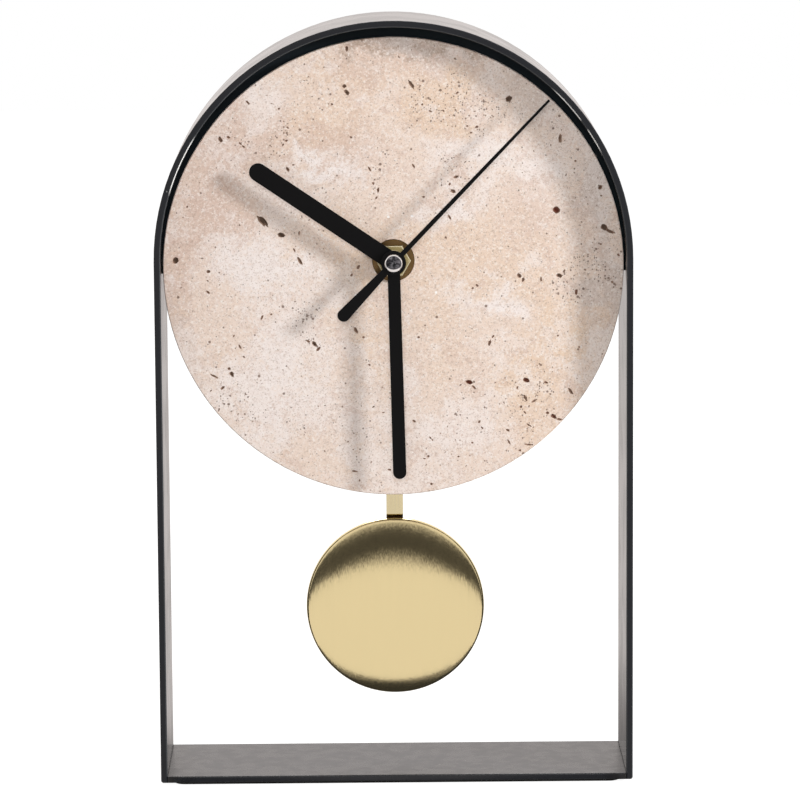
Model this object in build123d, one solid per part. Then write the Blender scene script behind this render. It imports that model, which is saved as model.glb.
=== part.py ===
from build123d import *
import math
import os

# Desk pendulum clock: a bent steel band on a flat base carries a stone dial, a quartz pendulum
# movement hangs behind the dial, and a domed brass bob swings in the open lower half.
# All sizes are millimetres. The front of the clock faces -Y and the floor is z = 0.

# Frame
overall_width = 180.0
overall_height = 291.0
frame_depth = 55.0
band_thickness = 2.5
band_edge_break = 0.35
leg_foot_radius = 1.0
base_thickness = 2.5
base_edge_break = 0.35
pad_thickness = 1.2
pad_side_inset = 5.0
pad_end_inset = 3.0
pad_corner_radius = 4.0

# Dial and the steel plate behind it
dial_side_clearance = 0.5
dial_thickness = 4.0
dial_recess = 11.5
dial_drop = 3.8
dial_edge_break = 0.3
plate_thickness = 1.5
plate_skirt = 6.0
plate_tongue_radius = 15.0
shaft_drop = 1.0

# Bush, washers and nut that clamp the movement, the plate and the dial together
bush_radius = 4.0
bush_flange_radius = 6.0
bush_flange_thickness = 1.0
bush_proud = 1.0
clamp_hole_clearance = 0.2
gasket_radius = 9.0
gasket_thickness = 0.8
washer_radius = 8.0
washer_thickness = 0.8
nut_across_flats = 11.3
nut_thickness = 2.2
nut_corner_break = 0.3

# Tubes and arbors on the hand axis
run_clearance = 0.05
hour_tube_radius = 2.5
minute_tube_radius = 1.75
second_arbor_radius = 0.5
arbor_radius = 0.4

# Hands
hand_thickness = 0.6
hour_hand_lift = 6.7
minute_hand_gap = 1.0
second_hand_gap = 0.6
hour_hand_margin = 22.5
hour_hand_width = 6.8
hour_hub_radius = 4.2
hour_collar_radius = 3.4
hour_collar_depth = 1.2
hour_hand_angle = 304.2
minute_hand_margin = 4.7
minute_hand_width = 4.7
minute_tip_width = 5.0
minute_hub_radius = 3.6
minute_collar_radius = 2.7
minute_collar_depth = 0.5
minute_hand_angle = 178.7
second_hand_margin = 2.4
second_hand_width = 1.9
second_tip_width = 0.9
second_tail_reach = 29.6
second_tail_width = 2.4
second_tail_tip_width = 4.7
second_hub_radius = 4.7
second_hand_angle = 43.9
cap_radius = 3.45
cap_height = 1.2
cap_round_share = 0.7

# Movement case and its rear cover
case_width = 56.0
case_depth = 16.0
case_wall = 1.5
case_corner_radius = 4.0
case_top_gap = 1.54
cover_thickness = 1.5
cover_clip_width = 6.0
cover_clip_depth = 5.0
cover_clip_thickness = 1.0
clip_height_shares = (0.429, 0.857)
battery_rib_thickness = 1.2
battery_rib_gap = 0.5
wheel_rib_gap = 1.7
post_radius = 1.5
post_board_gap = 1.32
upper_post_share = 0.78

# Pendulum drive, the lower part of the case
drive_width = 40.0
drive_height = 34.0
drive_depth = 8.5
drive_cover_thickness = 1.2
drive_corner_radius = 3.0
coil_floor_gap = 0.5

# Wheel train: teeth, distances between arbors and directions seen from the front
gear_pressure_angle = 25.0
tooth_addendum_share = 0.75
tooth_dedendum_share = 1.0
tooth_thickness_share = 0.88
minute_pinion_teeth = 12
setting_wheel_teeth = 36
setting_pinion_teeth = 10
hour_wheel_teeth = 40
setting_distance = 10.0
setting_angle = 150.0
second_pinion_teeth = 8
third_wheel_teeth = 60
third_pinion_teeth = 8
centre_wheel_teeth = 64
third_distance = 7.65
third_angle = 0.0
second_wheel_teeth = 50
transfer_pinion_teeth = 10
transfer_distance = 7.5
transfer_angle = 60.0
transfer_wheel_teeth = 60
rotor_pinion_teeth = 10
rotor_distance = 7.0
rotor_angle = 75.0
wheel_thickness = 0.6
hour_wheel_thickness = 1.0
pinion_overlap = 0.2
layer_gap = 0.4
train_plate_thickness = 0.8
train_plate_rib_gap = 0.5
train_plate_coil_gap = 1.26
train_plate_corner_radius = 1.4
setting_arbor_radius = 1.2
setting_journal_radius = 0.75
setting_boss_radius = 1.8
setting_boss_depth = 1.0
bearing_boss_radius = 1.4
bearing_boss_depth = 1.3
rotor_magnet_radius = 2.0
rotor_magnet_depth = 2.0
knob_radius = 6.0
knob_depth = 3.0
knob_gap = 0.4
knob_flute_count = 18
knob_flute_radius = 0.5

# Stepping motor and circuit board
stator_thickness = 0.6
stator_lobe_radius = 4.2
stator_air_gap = 0.4
stator_arm_width = 3.5
stator_reach = 13.0
stator_bar_width = 5.6
coil_core_rise = 8.6
coil_core_width = 2.4
motor_coil_radius = 3.1
motor_coil_length = 17.0
board_height = 24.0
board_thickness = 1.0
board_clip_gap = 0.5
board_arbor_gap = 3.14
board_depth = 10.0
board_rib_gap = 2.0
board_post_radius = 1.2
board_post_share = 0.25
board_post_end_share = 0.12
crystal_radius = 1.4
crystal_length = 8.0
crystal_place_share = 0.5
crystal_height_share = 0.25
crystal_round_share = 0.3
chip_radius = 2.6
chip_height = 1.0
chip_height_share = 0.72
chip_round_share = 0.7

# Battery, a standard AA cell, and its contacts
cell_radius = 7.25
cell_nub_radius = 2.75
cell_nub_length = 1.2
cell_edge_radius = 0.6
cell_clearance = 0.3
contact_thickness = 0.4
contact_spring_room = 2.1
contact_width = 8.0
contact_height_share = 0.66

# Pendulum and its drive
pivot_case_gap = 2.4
pivot_pin_radius = 0.8
pivot_head_radius = 1.8
pivot_head_thickness = 0.6
pivot_spacer_radius = 2.6
pivot_spacer_depth = 0.3
arm_clearance = 0.2
arm_thickness = 2.5
arm_eye_radius = 3.6
arm_width = 5.0
magnet_radius = 3.5
magnet_thickness = 2.0
magnet_wall = 1.5
hook_below_magnet = 7.0
hook_peg_radius = 1.2
hook_head_radius = 1.8
hook_head_thickness = 0.6
arm_end_radius = 3.0
coil_flange_radius = 8.0
coil_flange_thickness = 0.6
coil_core_radius = 3.0
winding_radius = 7.2
coil_back_gap = 0.6
rod_width = 6.4
rod_thickness = 0.8
rod_top_overhang = 3.2
rod_slip = 0.05
rod_step = 1.2
rod_bend_rise = 1.5
rod_bend_height = 1.3
rod_bottom_share = 0.45
bob_radius = 34.25
bob_rise_share = 0.39
bob_dome_rise = 8.4
bob_rim_radius = 1.3
bob_shell_thickness = 0.6
bob_back_thickness = 0.8
rivet_radius = 1.1
rivet_head_radius = 2.0
rivet_head_thickness = 0.7
rivet_rise_shares = (-0.3, 0.6)

# One overrun for every cut that goes right through
overrun = 1.0

# Places that follow from the sizes above
inner_radius = overall_width / 2 - band_thickness
arch_height = overall_height - overall_width / 2
front_y = -frame_depth / 2
face_y = front_y + dial_recess
dial_back_y = face_y + dial_thickness
plate_back_y = dial_back_y + plate_thickness
case_front_y = plate_back_y + gasket_thickness
dial_radius = inner_radius - dial_side_clearance
dial_height = arch_height - dial_drop
shaft_height = arch_height - shaft_drop
base_top = pad_thickness + base_thickness
hour_hand_y = face_y - hour_hand_lift
minute_hand_y = hour_hand_y - hand_thickness - minute_hand_gap
second_hand_y = minute_hand_y - hand_thickness - second_hand_gap
hour_hand_reach = dial_radius - hour_hand_margin
minute_hand_reach = dial_radius - minute_hand_margin
second_hand_reach = dial_radius - second_hand_margin
cover_front_y = case_front_y + case_depth - cover_thickness
cover_back_y = case_front_y + case_depth
drive_back_y = case_front_y + drive_depth
drive_cover_back_y = drive_back_y + drive_cover_thickness
arm_front_y = drive_cover_back_y + pivot_spacer_depth + arm_clearance
arm_back_y = arm_front_y + arm_thickness
rod_back_y = arm_back_y + rod_thickness
bob_back_y = arm_back_y + rod_step

# Layers of the wheel train, from the front wall of the case to the rear
flange_back_y = case_front_y + case_wall + bush_flange_thickness
hour_wheel_y = flange_back_y + layer_gap
setting_wheel_y = hour_wheel_y + hour_wheel_thickness + layer_gap
train_plate_y = setting_wheel_y + hour_wheel_thickness + layer_gap
centre_wheel_y = train_plate_y + train_plate_thickness + layer_gap
third_wheel_y = centre_wheel_y + wheel_thickness + 2 * layer_gap
second_wheel_y = third_wheel_y + wheel_thickness + 2 * layer_gap
transfer_wheel_y = second_wheel_y + wheel_thickness + 2 * layer_gap
bearing_y = cover_front_y - bearing_boss_depth
arbor_end_y = cover_front_y
stator_y = second_wheel_y - layer_gap
board_y = case_front_y + board_depth
coil_front_y = case_front_y + case_wall
coil_back_y = drive_back_y - coil_back_gap
cell_right = case_width / 2 - case_wall - contact_thickness
cell_length = case_width - 2 * case_wall - contact_thickness - contact_spring_room
cell_y = case_front_y + case_wall + cell_clearance + cell_radius


def around(x, z, distance, angle):
    """Point at a distance and an angle from another, seen from the front."""
    turn = math.radians(angle)
    return x + distance * math.cos(turn), z + distance * math.sin(turn)


def gear_radii(teeth, mate_teeth, distance):
    """Root, pitch and tip radius of a gear for a pair of arbors a distance apart."""
    module = 2 * distance / (teeth + mate_teeth)
    pitch_radius = module * teeth / 2
    root_radius = pitch_radius - module * tooth_dedendum_share
    return root_radius, pitch_radius, pitch_radius + module * tooth_addendum_share


# Arbors of the wheel train
shaft_at = (0, shaft_height)
setting_at = around(*shaft_at, setting_distance, setting_angle)
third_at = around(*shaft_at, third_distance, third_angle)
transfer_at = around(*shaft_at, transfer_distance, transfer_angle)
rotor_at = around(*transfer_at, rotor_distance, rotor_angle)

# Heights inside the case: the battery below the wheels, the motor above them
hour_wheel_tip = gear_radii(hour_wheel_teeth, setting_pinion_teeth, setting_distance)[2]
battery_rib_top = shaft_height - hour_wheel_tip - wheel_rib_gap
cell_height = battery_rib_top - battery_rib_thickness - battery_rib_gap - cell_radius
motor_coil_height = rotor_at[1] + coil_core_rise
case_bottom = cell_height - cell_radius - cell_clearance - case_wall
case_top = motor_coil_height + motor_coil_radius + case_top_gap + case_wall
case_height = case_top - case_bottom

# Circuit board between the side wall and the setting arbor
board_left = -case_width / 2 + case_wall + cover_clip_thickness + board_clip_gap
board_width = setting_at[0] - setting_arbor_radius - board_arbor_gap - board_left
board_low = battery_rib_top + board_rib_gap
board_post_x = board_left + board_width * board_post_share
board_posts = [
    (board_post_x, board_low + board_height * share)
    for share in (board_post_end_share, 1 - board_post_end_share)
]

# Posts of the bridge plate, clear of the board, the battery and the motor coil
stator_arm_shift = stator_reach - stator_arm_width / 2
right_post_x = rotor_at[0] + stator_arm_shift
left_post_x = board_post_x + board_post_radius + post_board_gap + post_radius
low_post_z = battery_rib_top + train_plate_rib_gap + post_radius
high_post_z = motor_coil_height - motor_coil_radius - train_plate_coil_gap - post_radius
train_posts = [
    (right_post_x, low_post_z),
    (right_post_x, high_post_z),
    (left_post_x * upper_post_share, high_post_z),
    (left_post_x, low_post_z),
]
arbor_ends = [
    (shaft_at, second_arbor_radius),
    (third_at, arbor_radius),
    (transfer_at, arbor_radius),
    (rotor_at, arbor_radius),
]

# Pendulum: the pivot clears the case, the magnet faces the coil, the bob hangs over the base
drive_bottom = case_bottom - drive_height
pivot_at = (0, case_bottom - pivot_case_gap - arm_eye_radius)
magnet_at = (0, drive_bottom + case_wall + coil_floor_gap + coil_flange_radius)
hook_at = (0, magnet_at[1] - hook_below_magnet)
bob_free_height = hook_at[1] - arm_end_radius - base_top - 2 * bob_radius
bob_height = base_top + bob_radius + bob_free_height * bob_rise_share
bob_at = (0, bob_height)
rivet_places = [(0, bob_height + bob_radius * share) for share in rivet_rise_shares]


def slab(sketch, start_y, end_y):
    """Sketch drawn as seen from the front, filled from one depth to a deeper one."""
    return extrude(Plane.XZ.offset(-end_y) * sketch, end_y - start_y)


def rod(place, radius, start_y, end_y):
    return slab(Pos(*place) * Circle(radius), start_y, end_y)


def ring(place, radius, bore, start_y, end_y):
    return slab(Pos(*place) * (Circle(radius) - Circle(bore)), start_y, end_y)


def box_between(low, high):
    size = [b - a for a, b in zip(low, high)]
    middle = [(a + b) / 2 for a, b in zip(low, high)]
    return Pos(*middle) * Box(*size)


# Frame

def arch_outline(radius, foot):
    """Half disc on a rectangle that reaches down to the foot."""
    straight = arch_height - foot
    legs = Pos(0, foot + straight / 2) * Rectangle(2 * radius, straight)
    return legs + Pos(0, arch_height) * Circle(radius)


def arch_band():
    outside = arch_outline(overall_width / 2, pad_thickness)
    inside = arch_outline(inner_radius, pad_thickness - overrun)
    band = slab(outside - inside, front_y, -front_y)
    feet = band.edges().filter_by(Axis.Y).group_by(Axis.Z)[0]
    outer_feet = [edge for edge in feet if abs(edge.center().X) > inner_radius + band_thickness / 2]
    band = fillet(outer_feet, leg_foot_radius)
    rims = band.faces().filter_by(Axis.Y)
    return chamfer(rims.edges(), band_edge_break)


def base_plate():
    plate = box_between((-inner_radius, front_y, pad_thickness), (inner_radius, -front_y, base_top))
    return chamfer(plate.edges().filter_by(Axis.X), base_edge_break)


def base_pad():
    outline = RectangleRounded(
        overall_width - 2 * pad_side_inset, frame_depth - 2 * pad_end_inset, pad_corner_radius
    )
    return extrude(outline, pad_thickness)


def back_plate():
    disc = Circle(inner_radius)
    skirt = Pos(0, -plate_skirt / 2) * Rectangle(2 * inner_radius, plate_skirt)
    upper = disc - Pos(0, -inner_radius) * Rectangle(2 * inner_radius, 2 * inner_radius)
    tongue = Pos(0, -shaft_drop) * Circle(plate_tongue_radius)
    hole = Pos(0, -shaft_drop) * Circle(bush_radius + clamp_hole_clearance)
    return slab(Pos(0, arch_height) * (upper + skirt + tongue - hole), dial_back_y, plate_back_y)


def dial_disc():
    disc = rod((0, dial_height), dial_radius, face_y, dial_back_y)
    disc = chamfer(disc.edges().filter_by(GeomType.CIRCLE), dial_edge_break)
    return disc - rod(shaft_at, bush_radius + clamp_hole_clearance, face_y - overrun, dial_back_y + overrun)


# Clamping set on the hand axis

def threaded_bush():
    bore = hour_tube_radius + run_clearance
    end_y = face_y - washer_thickness - nut_thickness - bush_proud
    barrel = ring(shaft_at, bush_radius, bore, end_y, case_front_y + case_wall)
    flange = ring(shaft_at, bush_flange_radius, bore, case_front_y + case_wall, flange_back_y)
    return barrel + flange


def rubber_gasket():
    return ring(shaft_at, gasket_radius, bush_radius, plate_back_y, case_front_y)


def dial_washer():
    return ring(shaft_at, washer_radius, bush_radius, face_y - washer_thickness, face_y)


def hex_nut():
    back_y = face_y - washer_thickness
    hexagon = RegularPolygon(nut_across_flats / 2, 6, major_radius=False)
    nut = slab(Pos(*shaft_at) * hexagon, back_y - nut_thickness, back_y)
    corner_radius = nut_across_flats / math.sqrt(3)
    cone = revolve(
        make_face(Polyline(
            (0, back_y),
            (corner_radius, back_y),
            (corner_radius, back_y - nut_thickness + nut_corner_break),
            (corner_radius - 2 * nut_corner_break, back_y - nut_thickness),
            (0, back_y - nut_thickness),
            close=True,
        )),
        axis=Axis.Y,
    )
    nut = nut & (Pos(0, 0, shaft_height) * cone)
    return nut - rod(shaft_at, bush_radius, back_y - nut_thickness - overrun, back_y + overrun)


# Gears

def involute(angle):
    return math.tan(angle) - angle


def half_tooth(teeth, pitch_radius, radius):
    """Half the angle that a tooth takes up at a radius."""
    pressure = math.radians(gear_pressure_angle)
    base_radius = pitch_radius * math.cos(pressure)
    at_radius = math.acos(min(base_radius / radius, 1))
    half_pitch = math.pi / (2 * teeth) * tooth_thickness_share
    return half_pitch + involute(pressure) - involute(at_radius)


def gear(teeth, mate_teeth, distance, turn):
    """Gear outline for a pair of arbors a distance apart, one tooth centred at the turn."""
    root_radius, pitch_radius, tip_radius = gear_radii(teeth, mate_teeth, distance)
    points = []
    for tooth in range(teeth):
        middle = math.radians(turn) + 2 * math.pi * tooth / teeth
        for radius, side in ((root_radius, -1), (tip_radius, -1), (tip_radius, 1), (root_radius, 1)):
            angle = middle + side * half_tooth(teeth, pitch_radius, radius)
            points.append((radius * math.cos(angle), radius * math.sin(angle)))
    return make_face(Polyline(*points, close=True))


def meshing_turn(teeth, turn, mate_teeth, direction):
    """Turn of a mating gear whose gap meets the tooth of the first, in a direction from it."""
    phase = (direction - turn) * teeth / 360
    return direction + 180 - (0.5 - phase) * 360 / mate_teeth


def gear_slab(place, outline, start_y, thickness):
    return slab(Pos(*place) * outline, start_y, start_y + thickness)


setting_wheel_turn = meshing_turn(minute_pinion_teeth, 0, setting_wheel_teeth, setting_angle)
hour_wheel_turn = meshing_turn(setting_pinion_teeth, 0, hour_wheel_teeth, setting_angle + 180)
third_wheel_turn = meshing_turn(second_pinion_teeth, 0, third_wheel_teeth, third_angle)
centre_wheel_turn = meshing_turn(third_pinion_teeth, 0, centre_wheel_teeth, third_angle + 180)
transfer_pinion_turn = meshing_turn(second_wheel_teeth, 0, transfer_pinion_teeth, transfer_angle)
rotor_pinion_turn = meshing_turn(transfer_wheel_teeth, 0, rotor_pinion_teeth, rotor_angle)


def hour_wheel():
    outline = gear(hour_wheel_teeth, setting_pinion_teeth, setting_distance, hour_wheel_turn)
    wheel = gear_slab(shaft_at, outline, hour_wheel_y, hour_wheel_thickness)
    tube = rod(shaft_at, hour_tube_radius, hour_hand_y - hand_thickness, hour_wheel_y)
    bore = rod(
        shaft_at,
        minute_tube_radius + run_clearance,
        hour_hand_y - hand_thickness - overrun,
        setting_wheel_y,
    )
    return wheel + tube - bore


def minute_pinion():
    outline = gear(minute_pinion_teeth, setting_wheel_teeth, setting_distance, 0)
    start_y = setting_wheel_y - pinion_overlap
    end_y = setting_wheel_y + hour_wheel_thickness + pinion_overlap
    pinion = slab(Pos(*shaft_at) * outline, start_y, end_y)
    tube = rod(shaft_at, minute_tube_radius, minute_hand_y - hand_thickness, start_y)
    sleeve = rod(shaft_at, minute_tube_radius, end_y, centre_wheel_y + wheel_thickness + pinion_overlap)
    bore = rod(
        shaft_at,
        second_arbor_radius + run_clearance,
        minute_hand_y - hand_thickness - overrun,
        third_wheel_y,
    )
    return pinion + tube + sleeve - bore


def centre_wheel():
    outline = gear(centre_wheel_teeth, third_pinion_teeth, third_distance, centre_wheel_turn)
    wheel = gear_slab(shaft_at, outline, centre_wheel_y, wheel_thickness)
    bore = minute_tube_radius + run_clearance
    return wheel - rod(shaft_at, bore, centre_wheel_y - overrun, centre_wheel_y + wheel_thickness + overrun)


def second_arbor():
    pinion = gear(second_pinion_teeth, third_wheel_teeth, third_distance, 0)
    wheel = gear(second_wheel_teeth, transfer_pinion_teeth, transfer_distance, 0)
    arbor = rod(shaft_at, second_arbor_radius, second_hand_y - hand_thickness, arbor_end_y)
    start_y = third_wheel_y - pinion_overlap
    arbor += slab(Pos(*shaft_at) * pinion, start_y, second_wheel_y)
    return arbor + gear_slab(shaft_at, wheel, second_wheel_y, wheel_thickness)


def setting_wheel():
    wheel = gear(setting_wheel_teeth, minute_pinion_teeth, setting_distance, setting_wheel_turn)
    pinion = gear(setting_pinion_teeth, hour_wheel_teeth, setting_distance, 0)
    pinion_y = case_front_y + case_wall + setting_boss_depth + pinion_overlap
    part = gear_slab(setting_at, wheel, setting_wheel_y, hour_wheel_thickness)
    part += slab(Pos(*setting_at) * pinion, pinion_y, setting_wheel_y)
    part += rod(setting_at, setting_journal_radius, case_front_y + case_wall + run_clearance, pinion_y)
    wheel_back_y = setting_wheel_y + hour_wheel_thickness
    arbor_back_y = cover_back_y + knob_gap + knob_depth / 2
    return part + rod(setting_at, setting_arbor_radius, wheel_back_y, arbor_back_y)


def third_wheel():
    wheel = gear(third_wheel_teeth, second_pinion_teeth, third_distance, third_wheel_turn)
    pinion = gear(third_pinion_teeth, centre_wheel_teeth, third_distance, 0)
    part = rod(third_at, arbor_radius, train_plate_y, arbor_end_y)
    pinion_y = train_plate_y + train_plate_thickness + pinion_overlap
    part += slab(Pos(*third_at) * pinion, pinion_y, third_wheel_y)
    return part + gear_slab(third_at, wheel, third_wheel_y, wheel_thickness)


def transfer_wheel():
    wheel = gear(transfer_wheel_teeth, rotor_pinion_teeth, rotor_distance, 0)
    pinion = gear(transfer_pinion_teeth, second_wheel_teeth, transfer_distance, transfer_pinion_turn)
    part = rod(transfer_at, arbor_radius, train_plate_y, arbor_end_y)
    part += slab(Pos(*transfer_at) * pinion, second_wheel_y - pinion_overlap, transfer_wheel_y)
    return part + gear_slab(transfer_at, wheel, transfer_wheel_y, wheel_thickness)


def motor_rotor():
    pinion = gear(rotor_pinion_teeth, transfer_wheel_teeth, rotor_distance, rotor_pinion_turn)
    pinion_y = transfer_wheel_y - pinion_overlap
    magnet_y = pinion_y - rotor_magnet_depth
    part = rod(rotor_at, arbor_radius, train_plate_y, arbor_end_y)
    part += rod(rotor_at, rotor_magnet_radius, magnet_y, pinion_y)
    pinion_end_y = transfer_wheel_y + wheel_thickness + pinion_overlap
    return part + slab(Pos(*rotor_at) * pinion, pinion_y, pinion_end_y)


def set_knob():
    start_y = cover_back_y + knob_gap
    end_y = start_y + knob_depth
    flutes = PolarLocations(knob_radius, knob_flute_count) * Circle(knob_flute_radius)
    knob = slab(Pos(*setting_at) * (Circle(knob_radius) - flutes), start_y, end_y)
    return knob - rod(setting_at, setting_arbor_radius, start_y - overrun, start_y + knob_depth / 2)


# Hands

def hand_bar(reach, root_width, tip_width):
    """Bar that points up from the hand axis, with a round end at each side."""
    end = reach - tip_width / 2
    corners = ((-root_width / 2, 0), (root_width / 2, 0), (tip_width / 2, end), (-tip_width / 2, end))
    bar = make_face(Polyline(*corners, close=True))
    return bar + Circle(root_width / 2) + Pos(0, end) * Circle(tip_width / 2)


def placed_hand(outline, bore, angle, back_y):
    turned = Pos(*shaft_at) * (Rot(0, 0, -angle) * (outline - Circle(bore)))
    return slab(turned, back_y - hand_thickness, back_y)


def hour_hand():
    outline = hand_bar(hour_hand_reach, hour_hand_width, hour_hand_width) + Circle(hour_hub_radius)
    hand = placed_hand(outline, hour_tube_radius, hour_hand_angle, hour_hand_y)
    collar_y = hour_hand_y + hour_collar_depth
    return hand + ring(shaft_at, hour_collar_radius, hour_tube_radius, hour_hand_y, collar_y)


def minute_hand():
    outline = hand_bar(minute_hand_reach, minute_hand_width, minute_tip_width) + Circle(minute_hub_radius)
    hand = placed_hand(outline, minute_tube_radius, minute_hand_angle, minute_hand_y)
    collar_y = minute_hand_y + minute_collar_depth
    return hand + ring(shaft_at, minute_collar_radius, minute_tube_radius, minute_hand_y, collar_y)


def second_hand():
    pointer = hand_bar(second_hand_reach, second_hand_width, second_tip_width)
    tail = hand_bar(second_tail_reach, second_tail_width, second_tail_tip_width)
    outline = pointer + Rot(0, 0, 180) * tail + Circle(second_hub_radius)
    return placed_hand(outline, second_arbor_radius, second_hand_angle, second_hand_y)


def hand_cap():
    back_y = second_hand_y - hand_thickness
    cap = rod(shaft_at, cap_radius, back_y - cap_height, back_y)
    front_edge = cap.edges().filter_by(GeomType.CIRCLE).sort_by(Axis.Y)[0]
    return fillet(front_edge, cap_height * cap_round_share)


# Movement case

def case_outline(inset):
    width = case_width - 2 * inset
    height = case_height - 2 * inset
    middle = Pos(0, (case_bottom + case_top) / 2)
    return middle * RectangleRounded(width, height, case_corner_radius - inset)


def drive_outline(inset, reach):
    """Lower part of the case, reaching up past the bottom of the upper part."""
    height = drive_height - inset + reach
    middle = drive_bottom + inset + height / 2
    return Pos(0, middle) * RectangleRounded(drive_width - 2 * inset, height, drive_corner_radius - inset)


def movement_case():
    floor_y = case_front_y + case_wall
    case = slab(case_outline(0), case_front_y, cover_front_y)
    case += slab(drive_outline(0, case_corner_radius), case_front_y, drive_back_y)
    case -= slab(case_outline(case_wall), floor_y, cover_front_y + overrun)
    case -= slab(drive_outline(case_wall, 0), floor_y, drive_back_y + overrun)
    case += battery_rib()
    journal_bore = setting_journal_radius + run_clearance
    case += ring(setting_at, setting_boss_radius, journal_bore, floor_y, floor_y + setting_boss_depth)
    for place in train_posts:
        case += rod(place, post_radius, floor_y, train_plate_y)
    for place in board_posts:
        case += rod(place, board_post_radius, floor_y, board_y)
    return case - rod(shaft_at, bush_radius, case_front_y - overrun, floor_y + overrun)


def battery_rib():
    half = case_width / 2 - case_wall
    low = (-half, case_front_y + case_wall, battery_rib_top - battery_rib_thickness)
    return box_between(low, (half, cover_front_y, battery_rib_top))


def rear_cover():
    cover = slab(case_outline(0), cover_front_y, cover_back_y)
    for place, radius in arbor_ends:
        boss = rod(place, bearing_boss_radius, bearing_y, cover_front_y)
        cover += boss - rod(place, radius + run_clearance, bearing_y - overrun, cover_front_y)
    for side in (-1, 1):
        for share in clip_height_shares:
            cover += cover_clip(side, case_bottom + case_height * share)
    half = case_width / 2 - case_wall
    low = (-half, cover_front_y - overrun, case_bottom + case_wall)
    cover -= box_between(low, (half, cover_back_y + overrun, battery_rib_top - battery_rib_thickness))
    hole = setting_arbor_radius + run_clearance
    return cover - rod(setting_at, hole, cover_front_y - overrun, cover_back_y + overrun)


def cover_clip(side, middle_z):
    """Springy tongue that presses against a side wall inside the case."""
    middle_x = side * (case_width / 2 - case_wall - cover_clip_thickness / 2)
    middle_y = cover_front_y - cover_clip_depth / 2
    tongue = Box(cover_clip_thickness, cover_clip_depth, cover_clip_width)
    return Pos(middle_x, middle_y, middle_z) * tongue


def drive_cover():
    cover = slab(drive_outline(0, 0), drive_back_y, drive_cover_back_y)
    spacer_end_y = drive_cover_back_y + pivot_spacer_depth
    cover += rod(pivot_at, pivot_spacer_radius, drive_cover_back_y, spacer_end_y)
    return cover - rod(pivot_at, pivot_pin_radius, drive_back_y - overrun, spacer_end_y + overrun)


def train_plate():
    low_x = min(x for x, z in train_posts) - post_radius
    high_x = max(x for x, z in train_posts) + post_radius
    low_z = min(z for x, z in train_posts) - post_radius
    high_z = max(z for x, z in train_posts) + post_radius
    middle = Pos((low_x + high_x) / 2, (low_z + high_z) / 2)
    outline = middle * RectangleRounded(high_x - low_x, high_z - low_z, train_plate_corner_radius)
    outline -= Pos(*shaft_at) * Circle(minute_tube_radius + run_clearance)
    outline -= Pos(*setting_at) * Circle(setting_arbor_radius + run_clearance)
    for place in (third_at, transfer_at, rotor_at):
        outline -= Pos(*place) * Circle(arbor_radius + run_clearance)
    plate = slab(outline, train_plate_y, train_plate_y + train_plate_thickness)
    for side in (-1, 1):
        place = (rotor_at[0] + side * stator_arm_shift, rotor_at[1])
        plate += rod(place, board_post_radius, train_plate_y + train_plate_thickness, stator_y)
    return plate


# Motor, circuit board and battery

def stator_plate():
    bar = Pos(*rotor_at) * Rectangle(2 * stator_reach, stator_bar_width)
    arm_height = coil_core_rise + coil_core_width / 2
    outline = bar + Pos(*rotor_at) * Circle(stator_lobe_radius)
    for side in (-1, 1):
        x = rotor_at[0] + side * stator_arm_shift
        outline += Pos(x, rotor_at[1] + arm_height / 2) * Rectangle(stator_arm_width, arm_height)
    outline -= Pos(*rotor_at) * Circle(rotor_magnet_radius + stator_air_gap)
    return slab(outline, stator_y, stator_y + stator_thickness)


def coil_core():
    core = Pos(rotor_at[0], motor_coil_height) * Rectangle(2 * stator_reach, coil_core_width)
    return slab(core, stator_y - stator_thickness, stator_y)


def motor_coil():
    middle = (rotor_at[0], stator_y - stator_thickness / 2, motor_coil_height)
    winding = Rot(0, 90, 0) * Cylinder(motor_coil_radius, motor_coil_length)
    opening = Box(motor_coil_length + overrun, stator_thickness, coil_core_width)
    return Pos(*middle) * (winding - opening)


def circuit_board():
    high = (board_left + board_width, board_y + board_thickness, board_low + board_height)
    return box_between((board_left, board_y, board_low), high)


def quartz_crystal():
    x = board_left + board_width * crystal_place_share
    z = board_low + board_height * crystal_height_share
    can = Pos(x, board_y + board_thickness + crystal_radius, z) * Cylinder(crystal_radius, crystal_length)
    return fillet(can.edges(), crystal_radius * crystal_round_share)


def chip_cover():
    x = board_left + board_width / 2
    z = board_low + board_height * chip_height_share
    blob = rod((x, z), chip_radius, board_y + board_thickness, board_y + board_thickness + chip_height)
    return fillet(blob.edges().sort_by(Axis.Y)[-1], chip_height * chip_round_share)


def battery_cell():
    can_length = cell_length - cell_nub_length
    can = Rot(0, 90, 0) * Cylinder(cell_radius, can_length)
    can = fillet(can.edges().filter_by(GeomType.CIRCLE), cell_edge_radius)
    nub = Rot(0, 90, 0) * Cylinder(cell_nub_radius, cell_nub_length)
    can = Pos(cell_right - cell_nub_length - can_length / 2, cell_y, cell_height) * can
    return can + Pos(cell_right - cell_nub_length / 2, cell_y, cell_height) * nub


def contact_positive():
    size = (contact_thickness, contact_width, 2 * cell_radius * contact_height_share)
    return Pos(cell_right + contact_thickness / 2, cell_y, cell_height) * Box(*size)


def contact_negative():
    """Leaf bent into a shallow V that presses on the flat end of the cell."""
    wall_x = -(case_width / 2 - case_wall)
    cell_end = cell_right - cell_length
    half = cell_radius * contact_height_share
    tip = cell_end - contact_thickness
    leaf = Polyline(
        (wall_x, -half),
        (tip, 0),
        (wall_x, half),
        (wall_x + contact_thickness, half),
        (cell_end, contact_thickness / 2),
        (cell_end, -contact_thickness / 2),
        (wall_x + contact_thickness, -half),
        close=True,
    )
    outline = Pos(0, cell_height) * make_face(leaf)
    return slab(outline, cell_y - contact_width / 2, cell_y + contact_width / 2)


# Pendulum drive and pendulum

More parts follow.
